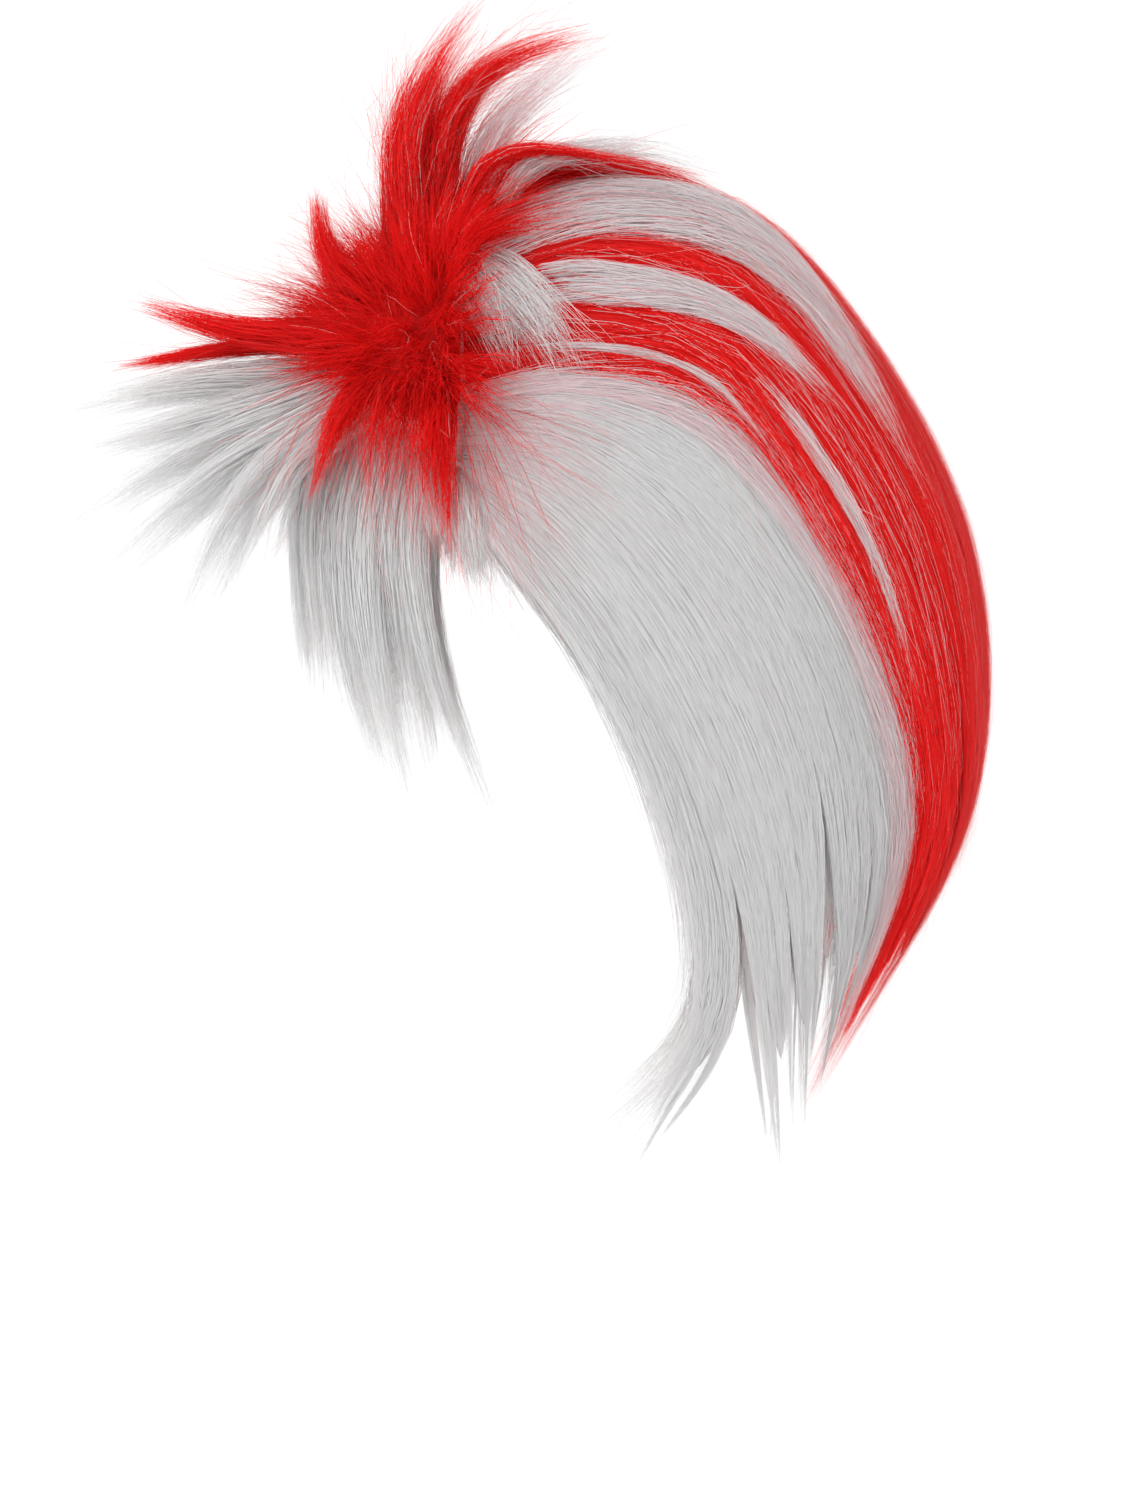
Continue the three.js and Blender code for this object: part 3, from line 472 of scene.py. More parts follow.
# Locks that stand out by themselves, X_ACROSS wide unless across says otherwise. A piece for both sides is
# given for the left and mirrored
X_ACROSS = (1, 0, 0)
Y_ACROSS = (0, 1, 0)
TUFTS = [
    dict(name="top_tuft_red", colour="red", look=dict(
        RED, strands=1500, clumps=40, pull=0.75, fan=0.15, frizz=2.2, stray=0.26, thick=0.36,
        end=(0.45, 1.06), core_to=0.3, pale=0.08,
    ), locks=[
        ([[8, -57, -30], [9, -61, 32], [7, -51, 64], [6, -33, 91]], 26, 20),
        ([[-8, -56, -30], [-10, -57, 30], [-9, -48, 60], [-8, -36, 78]], 26, 19),
        ([[2, -45, -24], [3, -44, 30], [4, -31, 58], [4, -8, 72], [4, 21, 80]], 26, 16),
    ]),
    dict(name="top_tuft_white", colour="white", look=dict(
        WHITE, strands=260, clumps=24, loss=0.0, fan=1.2, core=0.0, frizz=2.2, thick=0.34,
        end=(0.4, 1.05), shade=0.4,
    ), locks=[
        ([[-6, -36, -20], [-7, -24, 36], [-7, 2, 62], [-6, 37, 89]], 18, 13),
        ([[7, -36, -20], [8, -21, 32], [10, -3, 52], [11, 14, 60]], 18, 12),
    ]),
    dict(name="crown_sweep_red", colour="red", look=dict(
        RED, strands=800, clumps=24, spread=1.4, frizz=1.8, end=(0.45, 1.05), thick=0.34, pale=0.08,
    ), locks=[
        ([[8, -24, -14], [9, -8, 21], [9, 24, 22], [8, 60, 15], [7, 92, 0]], 22, 12),
        ([[-8, -24, -14], [-9, -8, 20], [-9, 22, 22], [-9, 56, 16], [-8, 84, 3]], 22, 12),
        ([[28, -38, -14], [34, -27, 17], [34, -12, 25], [32, 10, 25], [28, 40, 21]], 10, 6),
        ([[-28, -38, -14], [-34, -27, 17], [-34, -12, 25], [-32, 10, 25], [-28, 40, 21]], 10, 6),
    ]),
    dict(name="crown_sweep_white", colour="white", both=True, look=dict(
        WHITE, strands=260, loss=0.0, fan=0.8, core=0.0, frizz=2.0, end=(0.35, 1.05), thick=0.36,
        shade=0.6,
    ), locks=[
        ([[26, -26, -14], [27, -8, 18], [25, 20, 26], [22, 44, 26], [20, 72, 18]], 13, 9),
    ]),
    dict(name="front_spike", colour="red", look=dict(RED, strands=700, clumps=14, loss=0.5), locks=[
        ([[15, -74, -46], [17, -94, -16], [15, -99, 10]], 18, 15),
    ]),
    dict(name="front_flick", colour="red", look=dict(
        RED, strands=800, clumps=18, pull=0.7, loss=0.1, frizz=1.6, end=(0.6, 1.04), thick=0.36,
    ), locks=[
        ([[7, -78, -52], [8, -130, -51], [6, -174, -40]], 18, 15),
        ([[-7, -78, -52], [-5, -134, -56], [-3, -186, -64]], 15, 8),
    ]),
    # The spray is drawn a lighter white than the side panels: painted light.
    dict(name="front_spray", colour="white", look=dict(
        WHITE, strands=650, clumps=24, pull=0.65, loss=0.1, spread=1.35, frizz=1.8, thick=0.38,
        end=(0.5, 1.04), shade=0.74, stray=0.12,
    ), locks=[
        ([[0, -80, -68], [0, -150, -72], [-2, -206, -84]], 24, 15),
        ([[13, -80, -72], [20, -150, -90], [15, -208, -106]], 24, 15),
        ([[-13, -80, -72], [-20, -148, -88], [-18, -202, -100]], 24, 15),
        ([[24, -76, -74], [34, -144, -100], [35, -195, -130]], 22, 15),
        ([[-24, -76, -74], [-34, -144, -98], [-36, -194, -124]], 22, 15),
        ([[32, -74, -76], [46, -136, -110], [51, -185, -154]], 20, 14),
        ([[-32, -74, -76], [-46, -136, -108], [-52, -182, -148]], 20, 14),
        ([[40, -70, -78], [56, -122, -116], [64, -152, -171]], 18, 14),
        ([[-40, -70, -78], [-56, -122, -114], [-64, -150, -166]], 18, 14),
        ([[47, -65, -80], [62, -106, -112], [74, -122, -150]], 16, 12),
        ([[-47, -65, -80], [-62, -106, -110], [-74, -120, -146]], 16, 12),
    ]),
    dict(name="fringe", colour="white", look=FRINGE_LOOK, locks=[
        ([[0, -89, -78], [0, -104, -124], [0, -105, -165], [-1, -102, -200]], 22, 10),
        ([[13, -88, -79], [15, -103, -126], [16, -104, -168], [13, -102, -206]], 22, 10),
        ([[-13, -88, -79], [-15, -102, -122], [-16, -102, -160], [-14, -100, -196]], 22, 10),
        ([[25, -84, -81], [29, -98, -128], [31, -98, -168], [28, -95, -202]], 22, 10),
        ([[-25, -84, -81], [-29, -98, -126], [-31, -98, -164], [-28, -95, -198]], 22, 10),
    ]),
    dict(name="fringe", colour="white", across=(0.7, 0.7, 0), both=True, look=FRINGE_LOOK, locks=[
        ([[43, -74, -90], [51, -87, -136], [53, -84, -190], [50, -72, -238]], 18, 9),
        ([[52, -66, -94], [61, -76, -140], [63, -72, -195], [58, -60, -246]], 18, 9),
        ([[59, -58, -98], [68, -64, -142], [69, -58, -190], [64, -50, -238]], 18, 9),
    ]),
    # The temple lock is drawn a lighter white than the side panels: painted light.
    dict(name="temple_lock", colour="white", across=(0.2, 1, 0), both=True, look=dict(
        WHITE, strands=450, clumps=8, frizz=1.0, shade=0.7,
    ), locks=[
        ([[66, -50, -104], [76, -55, -146], [77, -47, -196], [72, -26, -256]], 13, 8),
    ]),
    # The sideburn is drawn a lighter white than the side panels: painted light.
    dict(name="sideburn", colour="white", across=Y_ACROSS, both=True, look=dict(
        WHITE, strands=450, loss=0.0, fan=0.3, core=0.4, shade=0.66,
    ), locks=[
        ([[69, -45, -108], [81, -44, -128], [82, -42, -152]], 18, 10),
        ([[70, -35, -114], [84, -32, -134], [85, -27, -160]], 18, 10),
    ]),
    dict(name="wisp", colour="white", across=(0, 0.7, 0.7), both=True, look=dict(
        WHITE, strands=340, clumps=30, pull=0.7, spread=1.4, loss=0.0, fan=0.7, core=0.0, frizz=0.8,
        thick=0.38, shade=0.85, end=(0.5, 1.1),
    ), locks=[
        ([[46, -36, -27], [71, -23, -44], [86, -8, -73]], 20, 7),
        ([[46, -32, -24], [75, -9, -42], [92, 17, -78]], 20, 7),
    ]),
]

# White stripes in the red of each side: flow lines of the edges at the start, middle and end, and the stretch
STRIPE_LOOK = dict(
    WHITE, start=(-0.1, 0.6), length=(0.3, 0.6), end=(0.6, 1.16), pull=0.5, shade=0.41, strand_shade=0.08,
    frizz=1.0, fray=1.0, core_to=0.8,
)
STRIPES = [
    dict(name="stripe_upper", upper=(0.25, 0.68, 1.2), lower=(1.6, 1.52, 1.35), along=(0.045, 0.45),
         strands=2600, end=(0.48, 1.16), fray=2.6, core_to=0.5),
    dict(name="stripe_lower", upper=(1.98, 2.02, 1.84), lower=(2.34, 2.33, 2.02), along=(0.085, 0.34),
         strands=1200),
    dict(name="stripe_thin", upper=(2.7, 2.77, 2.92), lower=(2.78, 2.84, 3.0), along=(0.09, 0.33),
         strands=260),
    dict(name="stripe_back", upper=(2.4, 2.36, 2.46), lower=(2.58, 2.54, 2.58), along=(0.3, 0.58),
         strands=300),
]
STRIPE_RISE = 1.6
STRIPE_DEPTH = 4.0
STRIPE_FEATHER = 0.7
STRIPE_FEATHER_FROM = 0.6
STRIPE_FEATHER_OVER = 0.5
STRIPE_OVERLAP = 1.15
STRIPE_LIFT_SPREAD = 0.8
STRIPE_CORE_FROM = 0.06
STRIPE_CORE_WIDTH = 0.9
STRIPE_CORE_SINK = 0.6
STRIPE_OPENS_AT = 0.05
STRIPE_OPENING = 5
STRIPE_SHUTS_PAST = 0.01
STRIPE_SHUTTING = 2.2

# Panels of the long hair: a row of locks between two lines of the flow. Where tips are given, the locks bend
# to end on those lines, which parts the hem into groups of locks
PANEL_BEND_FROM = 0.5
PANEL_LATE_BEND = 0.28
SIDE_TIPS = np.array([3.44, 3.78, 4.62, 4.96, 5.72])
PANEL_LOOK = dict(
    LOOK, start=(0.0, 0.76), length=(0.26, 0.45), end=(0.8, 1.03), frizz=0.65, stray=0.03,
    twist=0.12, clumps=5, pull=0.65, loss=0.68, thick=0.24, lift=(0.2, 0.22), crossing=0.0,
)
SIDE_LOOK = dict(PANEL_LOOK, shade=0.56, strand_shade=0.04, clump_shade=0.02, loss=0.9)
BACK_LOOK = dict(
    PANEL_LOOK, strands=13000, shade=0.56, strand_shade=0.09, clump_shade=0.05, pale=0.09, thick=0.3,
    lift=(0.3, 0.6), stray=0.17, frizz=1.0, crossing=0.045, pull=0.5, loss=0.6, end=(0.76, 1.03), clumps=7,
)
PANELS = [
    dict(name="side_panel_left", colour="white", lines=(3, 6), locks=5, depth=15, tips=SIDE_TIPS,
         look=dict(SIDE_LOOK, strands=12000)),
    dict(name="side_panel_right", colour="white", lines=(-6, -3), locks=5, depth=15, tips=-SIDE_TIPS[::-1],
         look=dict(SIDE_LOOK, strands=8500)),
    dict(name="back_panel", colour="red", lines=(-3, 3), locks=8, depth=20, look=BACK_LOOK),
]
PANEL_ROOT_SHARE = 0.12
PANEL_ROOT_REACH = 0.07
PANEL_ROOT_LENGTH = 0.4
PANEL_ROOT_PINK = 0.6
PANEL_DEEP_SHARE = 0.25
PANEL_EDGE_SHARE = 0.4
PANEL_EDGE_REACH = 0.3
PANEL_EDGE_LOCKS = 1.5
PANEL_EDGE_RISE = 1.2
PANEL_END_SPREAD = 0.02
PANEL_GATHER_FROM = 0.55
PANEL_GATHER_OVER = 0.45
TONE_BY_LOCK = 5.1
TONE_BY_WIDTH = 2.2
TONE_BY_START = 6
PALE_DRIFT = 0.55
DRIFT_LEAST = 0.2
CROSSING_RISE = 2.2
PALE_SPAN = (0.03, 0.42)
PALE_LINES = (0.7, 1.9)
PALE_LEAST = 0.05
PANEL_COVER = 0.8
PANEL_COVER_SHARE = 0.3
PANEL_CORE_END = 0.87
PANEL_CORE_DEPTH = 0.75
PANEL_CORE_SHADE = 0.5
PANEL_CLOSING = 1.001
PANEL_CLOSING_POWER = 8
PANEL_THIN_EDGE = 0.85
PANEL_THIN_POWER = 6
STRAND_SINK = 2.2
STRAND_RISE_RATE = 2.5
ROOT_SINK = 4.0
ROOT_RISE = 0.07
CORE_ROWS = 28
CORE_COLUMNS = 7

# Hair under the back panel
UNDERLAYER_LOOK = dict(RED, strands=500, core=0.85, core_to=0.95, spread=1.0, loss=0.8)
UNDERLAYER_MIDDLE = ([[0, 84, -92], [0, 128, -122], [0, 152, -200], [0, 140, -272], [0, 128, -322]], 48, 26)
UNDERLAYER_SIDES = [
    ([[26, 77, -94], [33, 116, -128], [36, 138, -205], [27, 132, -270], [18, 124, -316]], 50, 28),
    ([[45, 66, -98], [58, 94, -138], [61, 114, -212], [47, 117, -264], [34, 116, -302]], 50, 28),
]

# Short fur of the front: it stands on the cap between two distances from its middle, spreads from a whorl on
# each side, lies back near the top, and hangs down in a few locks
FUR_BACK = (-86, -33)
FUR_REAR = (-46, -26)
FUR_REAR_SHARE = 0.26
FUR_REAR_LEAN = 82
BACKWARD = np.array([0.0, 1.0, 0.0])
FUR_ROOT = 1
FUR_RISE = 5
FUR_RISE_FROM = -42
FUR_RISE_OVER = 4
FUR_FABRIC_END = -35
FUR_FABRIC_ROWS = 9
FUR_FABRIC_COLUMNS = 29
FUR_FABRIC_OUT = 3.6
FUR_FABRIC_IN = 0.8
# The fabric's dark shade is painted shade beneath the fur.
FUR_FABRIC_PAINTED_SHADE = 0.2
FUR_EDGE_BACK = [-86, -64, -45, -40, -35]
FUR_EDGE_LEAN = [52, 76, 87, 85, 79]
FUR_WHORL = dict(back=-61, lean=58, reach=30)
FUR_SWEPT = dict(back=-52, back_over=18, lean=46, lean_over=14)
FUR_LENGTH = (24, 44)
FUR_CLUMP_LENGTH = (0.8, 1.15)
FUR_SWEPT_LONGER = 0.35
FUR_UPRIGHT = 0.72
FUR_SWEPT_DROP = 0.4
FUR_SPREAD = 0.6
FUR_SWEEP = 1.1
FUR_BEND_POWER = 1.4
FUR_SWAY = 0.2
FUR_STRAY = 0.12
FUR_SWAY_POWER = 1.2
FUR_SAG = 0.16
FUR_GATHER = 0.4
FUR_FACING = 0.4
FUR_LOOK = dict(
    RED, strands=15500, clumps=260, frizz=2.0, stray=0.28, thick=0.34, twist=0.7, shade=0.46, pale=0.01,
)
FALLING_LOOK = dict(
    RED, strands=300, clumps=18, loss=0.0, fan=1.1, length=(0.6, 1.1), end=(0.45, 1.2), core=0.35,
    core_to=0.22, frizz=3.0, stray=0.35, thick=0.26,
)
POINTED_LOOK = dict(
    RED, strands=300, clumps=9, pull=0.7, length=(0.6, 1.1), end=(0.5, 1.1), spread=1.35, loss=0.7, core=0.45,
    core_to=0.42, frizz=1.9, stray=0.2, thick=0.28,
)
LOOSE_LOOK = dict(
    RED, strands=40, clumps=20, pull=0.3, start=(0.0, 0.5), length=(0.5, 1.1), end=(0.6, 1.2), loss=0.0,
    fan=2.4, core=0.0, frizz=3.6, stray=0.6, thick=0.22, shade=0.3,
)
FALLING_FUR = [
    (FALLING_LOOK, [
        ([[62, -46, -72], [86, -47, -98], [87, -42, -150]], 16, 11),
        ([[56, -60, -72], [78, -68, -98], [81, -66, -132]], 16, 11),
        ([[48, -70, -70], [68, -86, -94], [75, -93, -122]], 16, 11),
    ]),
    (POINTED_LOOK, [
        ([[60, -46, -72], [88, -43, -100], [92, -40, -142]], 14, 7),
        ([[48, -70, -70], [72, -88, -94], [80, -97, -124]], 12, 7),
    ]),
    (LOOSE_LOOK, [
        ([[64, -44, -76], [90, -36, -98], [98, -26, -172]], 16, 6),
        ([[64, -42, -76], [92, -24, -96], [102, 8, -160]], 16, 6),
        ([[66, -38, -80], [94, -12, -92], [103, 26, -116]], 14, 6),
        ([[56, -60, -72], [82, -66, -98], [88, -64, -156]], 16, 6),
        ([[48, -70, -70], [72, -92, -94], [80, -112, -140]], 16, 6),
    ]),
]


def mirrored(lock):
    course, width, depth = lock
    return [[-x, y, z] for x, y, z in course], width, depth


# Materials: the stops of each ramp of shades are a place and a colour

RED_SHADES = [
    (0.0, (0.34, 0.002, 0.002)), (0.3, (0.72, 0.006, 0.006)), (0.6, (0.91, 0.016, 0.015)),
    (0.9, (0.96, 0.09, 0.085)), (0.95, (0.86, 0.6, 0.61)), (1.0, (0.82, 0.78, 0.78)),
]
WHITE_SHADES = [
    (0.0, (0.7, 0.22, 0.24)), (0.15, (0.78, 0.52, 0.54)), (0.35, (0.82, 0.715, 0.73)),
    (0.5, (0.74, 0.735, 0.735)), (1.0, (0.84, 0.84, 0.84)),
]
ROOT_SHADOW_END = 0.45
FIBRE_SPECULAR = 0.12
FIBRE_TRANSLUCENCE = 0.35
KNIT_SHADES = [(0.25, (0.56, 0.54, 0.53)), (0.75, (0.78, 0.76, 0.75))]
KNIT_LOOPS = 620
KNIT_ROWS = 160
KNIT_DISTORTION = 1.5
KNIT_DETAIL = 2
KNIT_ROWS_SHARE = 0.5
UNEVEN_SCALE = 45
UNEVEN_SHARE = 0.35
KNIT_BUMP = 0.4
KNIT_RELIEF = 0.4 * MM
KNIT_ROUGHNESS = 0.9
KNIT_SPECULAR = 0.2


def new_material(name):
    material = bpy.data.materials.new(name)
    material.use_nodes = True
    tree = material.node_tree
    return material, tree, tree.nodes["Principled BSDF"]


def plug(tree, node, **inputs):
    """Each input of a node takes a value or the output of another node."""
    for name, value in inputs.items():
        socket = node.inputs[name.replace("_", " ")]
        if isinstance(value, bpy.types.NodeSocket):
            tree.links.new(value, socket)
        else:
            socket.default_value = value
    return node


def add_node(tree, kind, settings=(), **inputs):
    node = tree.nodes.new("ShaderNode" + kind)
    for name, value in dict(settings).items():
        setattr(node, name, value)
    return plug(tree, node, **inputs)


def ramp(tree, stops, place):
    node = add_node(tree, "ValToRGB", Fac=place)
    elements = node.color_ramp.elements
    while len(elements) < len(stops):
        elements.new(0.5)
    for element, (position, colour) in zip(elements, stops):
        element.position = position
        element.color = (*colour, 1)
    return node.outputs["Color"]


def fur_material(name, shades, root, roughness):
    """Fur whose colour follows each strand's shade and the way from its root to its tip, with painted shade
    that darkens it towards the root.
    """
    material, tree, shader = new_material(name)
    place = add_node(tree, "UVMap", dict(uv_map="OFBake"))
    split = add_node(tree, "SeparateXYZ", Vector=place.outputs["UV"]).outputs
    palette = ramp(tree, shades, split["X"])
    # Painted shade: each strand is darker towards its root, by the factor root, until ROOT_SHADOW_END along
    # it.
    painted_root_shade = ramp(tree, [(0.0, (root, root, root)), (ROOT_SHADOW_END, (1, 1, 1)), (1.0, (1, 1, 1))], split["Y"])
    multiply = dict(data_type="RGBA", blend_type="MULTIPLY")
    colour = add_node(tree, "Mix", multiply, Factor=1.0, A=palette, B=painted_root_shade).outputs["Result"]
    gloss = add_node(tree, "MapRange", To_Min=roughness[0], To_Max=roughness[1], Value=split["X"])
    plug(tree, shader, Base_Color=colour, Roughness=gloss.outputs["Result"])
    plug(tree, shader, Specular_IOR_Level=FIBRE_SPECULAR)
    through = add_node(tree, "BsdfTranslucent", Color=colour)
    fibre = add_node(tree, "MixShader", Fac=FIBRE_TRANSLUCENCE)
    tree.links.new(shader.outputs["BSDF"], fibre.inputs[1])
    tree.links.new(through.outputs["BSDF"], fibre.inputs[2])
    plug(tree, tree.nodes["Material Output"], Surface=fibre.outputs["Shader"])
    return material


MATERIALS = {
    # root is how dark each strand is painted at its root: painted shade.
    "red": fur_material("red_fur", RED_SHADES, root=0.72, roughness=(0.6, 0.42)),
    "white": fur_material("white_fur", WHITE_SHADES, root=0.92, roughness=(0.6, 0.48)),
}


# Pieces

def add_tufts(number, row):
    sides = LEFT_AND_RIGHT if row.get("both") else [("", 1)]
    for suffix, side in sides:
        rng = np.random.default_rng([SEED, number, side + 1])
        hint = np.array(row.get("across", X_ACROSS), float) * [side, 1, 1]
        parts = []
        for lock in row["locks"]:
            parts += lock_parts(rng, lock if side > 0 else mirrored(lock), hint, row["look"])
        add_hair(row["name"] + suffix, row["colour"], parts)


def line_run(values, share):
    """A smooth run of flow lines through the values at the start, middle and end."""
    first, middle, last = values
    control = 2 * middle - (first + last) / 2
    return first * (1 - share) ** 2 + 2 * control * share * (1 - share) + last * share**2


def on_stripe(row, side, within, share):
    """Places and outward directions between a stripe's edges, with within from -1 to 1 across it."""
    upper, lower = line_run(row["upper"], share), line_run(row["lower"], share)
    line = side * ((upper + lower) / 2 + (lower - upper) / 2 * within)
    along = row["along"][0] + (row["along"][1] - row["along"][0]) * share
    return on_flow(FLOW_PLACES, line, along), on_flow(FLOW_OUT, line, along)


def stripe_core(style, side):
    share = np.linspace(STRIPE_CORE_FROM, style["core_to"], CORE_ROWS)[:, None]
    opening = (share - STRIPE_OPENS_AT) * STRIPE_OPENING
    shutting = (style["core_to"] + STRIPE_SHUTS_PAST - share) * STRIPE_SHUTTING
    size = np.sqrt(np.clip(np.minimum(opening, shutting), 0, 1))
    within = side * np.linspace(-STRIPE_CORE_WIDTH, STRIPE_CORE_WIDTH, CORE_COLUMNS) * size
    places, out = on_stripe(style, side, within, np.broadcast_to(share, within.shape))
    outer = places + out * (STRIPE_RISE * size - STRIPE_CORE_SINK)[..., None]
    return sheet(outer, outer - out * (STRIPE_DEPTH * size)[..., None], style["shade"])


def stripe_strands(rng, style, side):
    count = style["strands"]
    share = np.linspace(0, 1, style["stations"])
    start = rng.uniform(*style["start"], count)
    length = rng.uniform(*style["length"], count)
    first, last = style["end"]
    end = np.minimum(start + length, first + (last - first) * rng.random(count) ** style["fray"])
    run = start[:, None] + (end - start)[:, None] * share
    clump = rng.integers(0, style["clumps"], count)
    middle = rng.uniform(-1, 1, style["clumps"])[clump]
    own = rng.uniform(-STRIPE_OVERLAP, STRIPE_OVERLAP, count)
    within = spread_to(own, middle, style["pull"] * share**PULL_POWER)
    within = within * (1 + STRIPE_FEATHER * smooth((run - STRIPE_FEATHER_FROM) / STRIPE_FEATHER_OVER))
    places, out = on_stripe(style, side, within, run)
    lift = rng.normal(STRIPE_RISE, STRIPE_LIFT_SPREAD, count)[:, None]
    lift = lift - STRAND_SINK * (1 - smooth(share * STRAND_RISE_RATE))
    shade = style["shade"] + rng.normal(0, style["strand_shade"], count)
    return finish_strands(rng, places + out * lift[..., None], out, shade, style)


def add_stripe(number, row):
    style = {**STRIPE_LOOK, **row}
    for suffix, side in LEFT_AND_RIGHT:
        rng = np.random.default_rng([SEED, number, side + 1])
        parts = [stripe_core(style, side), stripe_strands(rng, style, side)]
        add_hair(row["name"] + suffix, "white", parts)


def root_drop(along):
    """How far the surface lies below the flow near the roots, where the hair comes out of the cap."""
    return ROOT_SINK * (1 - smooth(along / ROOT_RISE))


def panel_lines(row):
    """The lines of a panel's locks, the lines they end on, and half their spacing."""
    half = (row["lines"][1] - row["lines"][0]) / row["locks"] / 2
    locks = row["lines"][0] + half * (2 * np.arange(row["locks"]) + 1)
    return locks, row.get("tips", locks), half


def bent(line, tip, along, begin=PANEL_BEND_FROM):
    return line + (tip - line) * smooth((along - begin) / (1 - begin))


def panel_core(row, line, tip, half):
    along = np.linspace(0, PANEL_CORE_END, CORE_ROWS)[:, None]
    closing = np.sqrt(PANEL_CLOSING - (along / PANEL_CORE_END) ** PANEL_CLOSING_POWER)
    width = swell(along, CORE_TAPER_LOSS, **PANEL_WIDTH_SWELL) * closing
    lines = bent(line, tip, along) + half * width * np.linspace(-1, 1, CORE_COLUMNS)
    along = np.broadcast_to(along, lines.shape)
    out = on_flow(FLOW_OUT, lines, along)
    places = on_flow(FLOW_PLACES, lines, along)
    middle, reach = sum(row["lines"]) / 2, (row["lines"][1] - row["lines"][0]) / 2
    edge = 1 - PANEL_THIN_EDGE * np.abs((lines - middle) / reach) ** PANEL_THIN_POWER
    thick = row["depth"] * swell(along, CORE_TAPER_LOSS, **PANEL_DEPTH_SWELL) * edge * closing
    cover = np.minimum(PANEL_COVER, PANEL_COVER_SHARE * thick) + root_drop(along)
    outer = places - out * cover[..., None]
    return sheet(outer, outer - out * (PANEL_CORE_DEPTH * thick)[..., None], PANEL_CORE_SHADE)


def panel_strands(rng, row):
    """Strands that follow the flow; some drift over the panel's edges or cross the stripes and the red."""
    style = row["look"]
    count = style["strands"]
    locks, tips, half = panel_lines(row)
    share = np.linspace(0, 1, style["stations"])
    within = rng.uniform(-1, 1, count)
    place = rng.integers(0, row["locks"], count)
    lock = locks[place]
    clumps = style["clumps"]
    centre = rng.uniform(-1, 1, (row["locks"], clumps))
    clump = np.argmin(np.abs(within[:, None] - centre[place]), axis=1)
    clump_end = rng.uniform(*style["end"], (row["locks"], clumps))[place, clump]
    rooted = rng.random(count) < PANEL_ROOT_SHARE
    start = rng.uniform(*style["start"], count) * np.where(rooted, PANEL_ROOT_REACH, 1)
    white = row["colour"] == "white"
    length = rng.uniform(*style["length"], count) * np.where(rooted & white, PANEL_ROOT_LENGTH, 1)
    end = np.minimum(start + length, clump_end + rng.normal(0, PANEL_END_SPREAD, count))
    run = start[:, None] + (end - start)[:, None] * share
    pull = style["pull"] * smooth((run - PANEL_GATHER_FROM) / PANEL_GATHER_OVER)
    gathered = spread_to(within, centre[place, clump], pull)
    begin = PANEL_BEND_FROM + PANEL_LATE_BEND * rng.random(count)
    line = bent(lock[:, None], tips[place][:, None], run, begin[:, None])
    line = line + half * gathered * swell(run, style["loss"], **PANEL_WIDTH_SWELL)
    near_stripes = smooth((np.abs(lock) - PALE_LINES[0]) / (PALE_LINES[1] - PALE_LINES[0]))
    pale = rng.random(count) < style["pale"] * (PALE_LEAST + (1 - PALE_LEAST) * near_stripes)
    pale = pale & (start > PALE_SPAN[0]) & (start < PALE_SPAN[1])
    crossing = (rng.random(count) < style["crossing"]) & (start < PALE_SPAN[1]) & ~pale
    wander = PALE_DRIFT * (DRIFT_LEAST + (1 - DRIFT_LEAST) * near_stripes)
    drift = rng.normal(0, 1, count) * np.where(pale | crossing, wander, 0)
    middle = sum(row["lines"]) / 2
    aside = line[:, 0] - middle
    at_edge = np.abs(aside) > half * (row["locks"] - PANEL_EDGE_LOCKS)
    over = (rng.random(count) < PANEL_EDGE_SHARE) & at_edge
    drift = np.where(over, np.sign(aside) * PANEL_EDGE_REACH * rng.random(count), drift)
    line = line + drift[:, None] * share
    lift = rng.normal(*style["lift"], count) + PANEL_EDGE_RISE * (over | pale) + CROSSING_RISE * crossing
    deep = (rng.random(count) < PANEL_DEEP_SHARE) & ~over & ~pale & ~crossing
    lift = np.where(deep, -rng.random(count) * row["depth"], lift)
    height = lift[:, None] * np.where(deep[:, None], swell(run, style["loss"], **PANEL_DEPTH_SWELL), 1)
    sunk = STRAND_SINK * smooth(start / ROOT_RISE)[:, None] * (1 - smooth(share * STRAND_RISE_RATE))
    height = height - sunk - root_drop(run)
    facing = on_flow(FLOW_OUT, line, run)
    points = on_flow(FLOW_PLACES, line, run) + facing * height[..., None]
    tone = np.sin(lock * TONE_BY_LOCK + within * TONE_BY_WIDTH + TONE_BY_START * start) * style["clump_shade"]
    shade = np.minimum(style["shade"] + tone + rng.normal(0, style["strand_shade"], count), DEEP_SHADE)
    shade = np.where(pale, rng.uniform(*PALE_SHADES, count), shade)
    beside_red = over & (np.abs(lock) < abs(middle)) | rooted & (rng.random(count) < PANEL_ROOT_PINK)
    shade = np.where(beside_red & white, rng.uniform(*PINK_SHADES, count), shade)
    return finish_strands(rng, points, facing, shade, style, pale | crossing)


def add_panel(number, row):
    rng = np.random.default_rng([SEED, number])
    locks, tips, half = panel_lines(row)
    parts = [panel_core(row, line, tip, half) for line, tip in zip(locks, tips)]
    parts.append(panel_strands(rng, row))
    add_hair(row["name"], row["colour"], parts)


def on_cap(back, lean, out):
    """Places on the cap and the way out from it, by the distance back and the lean to the left in degrees."""
    axes = CAP_AXES + CAP_WALL
    ring = np.sqrt(np.maximum(1 - (back / axes[1]) ** 2, 0))
    angle = np.radians(lean)
    place = np.stack([
        axes[0] * ring * np.sin(angle), back + 0 * angle, axes[2] * ring * np.cos(angle),
    ], axis=-1)
    outward = unit(place / axes**2)
    return place + outward * np.asarray(out)[..., None] + CAP_CENTRE, outward


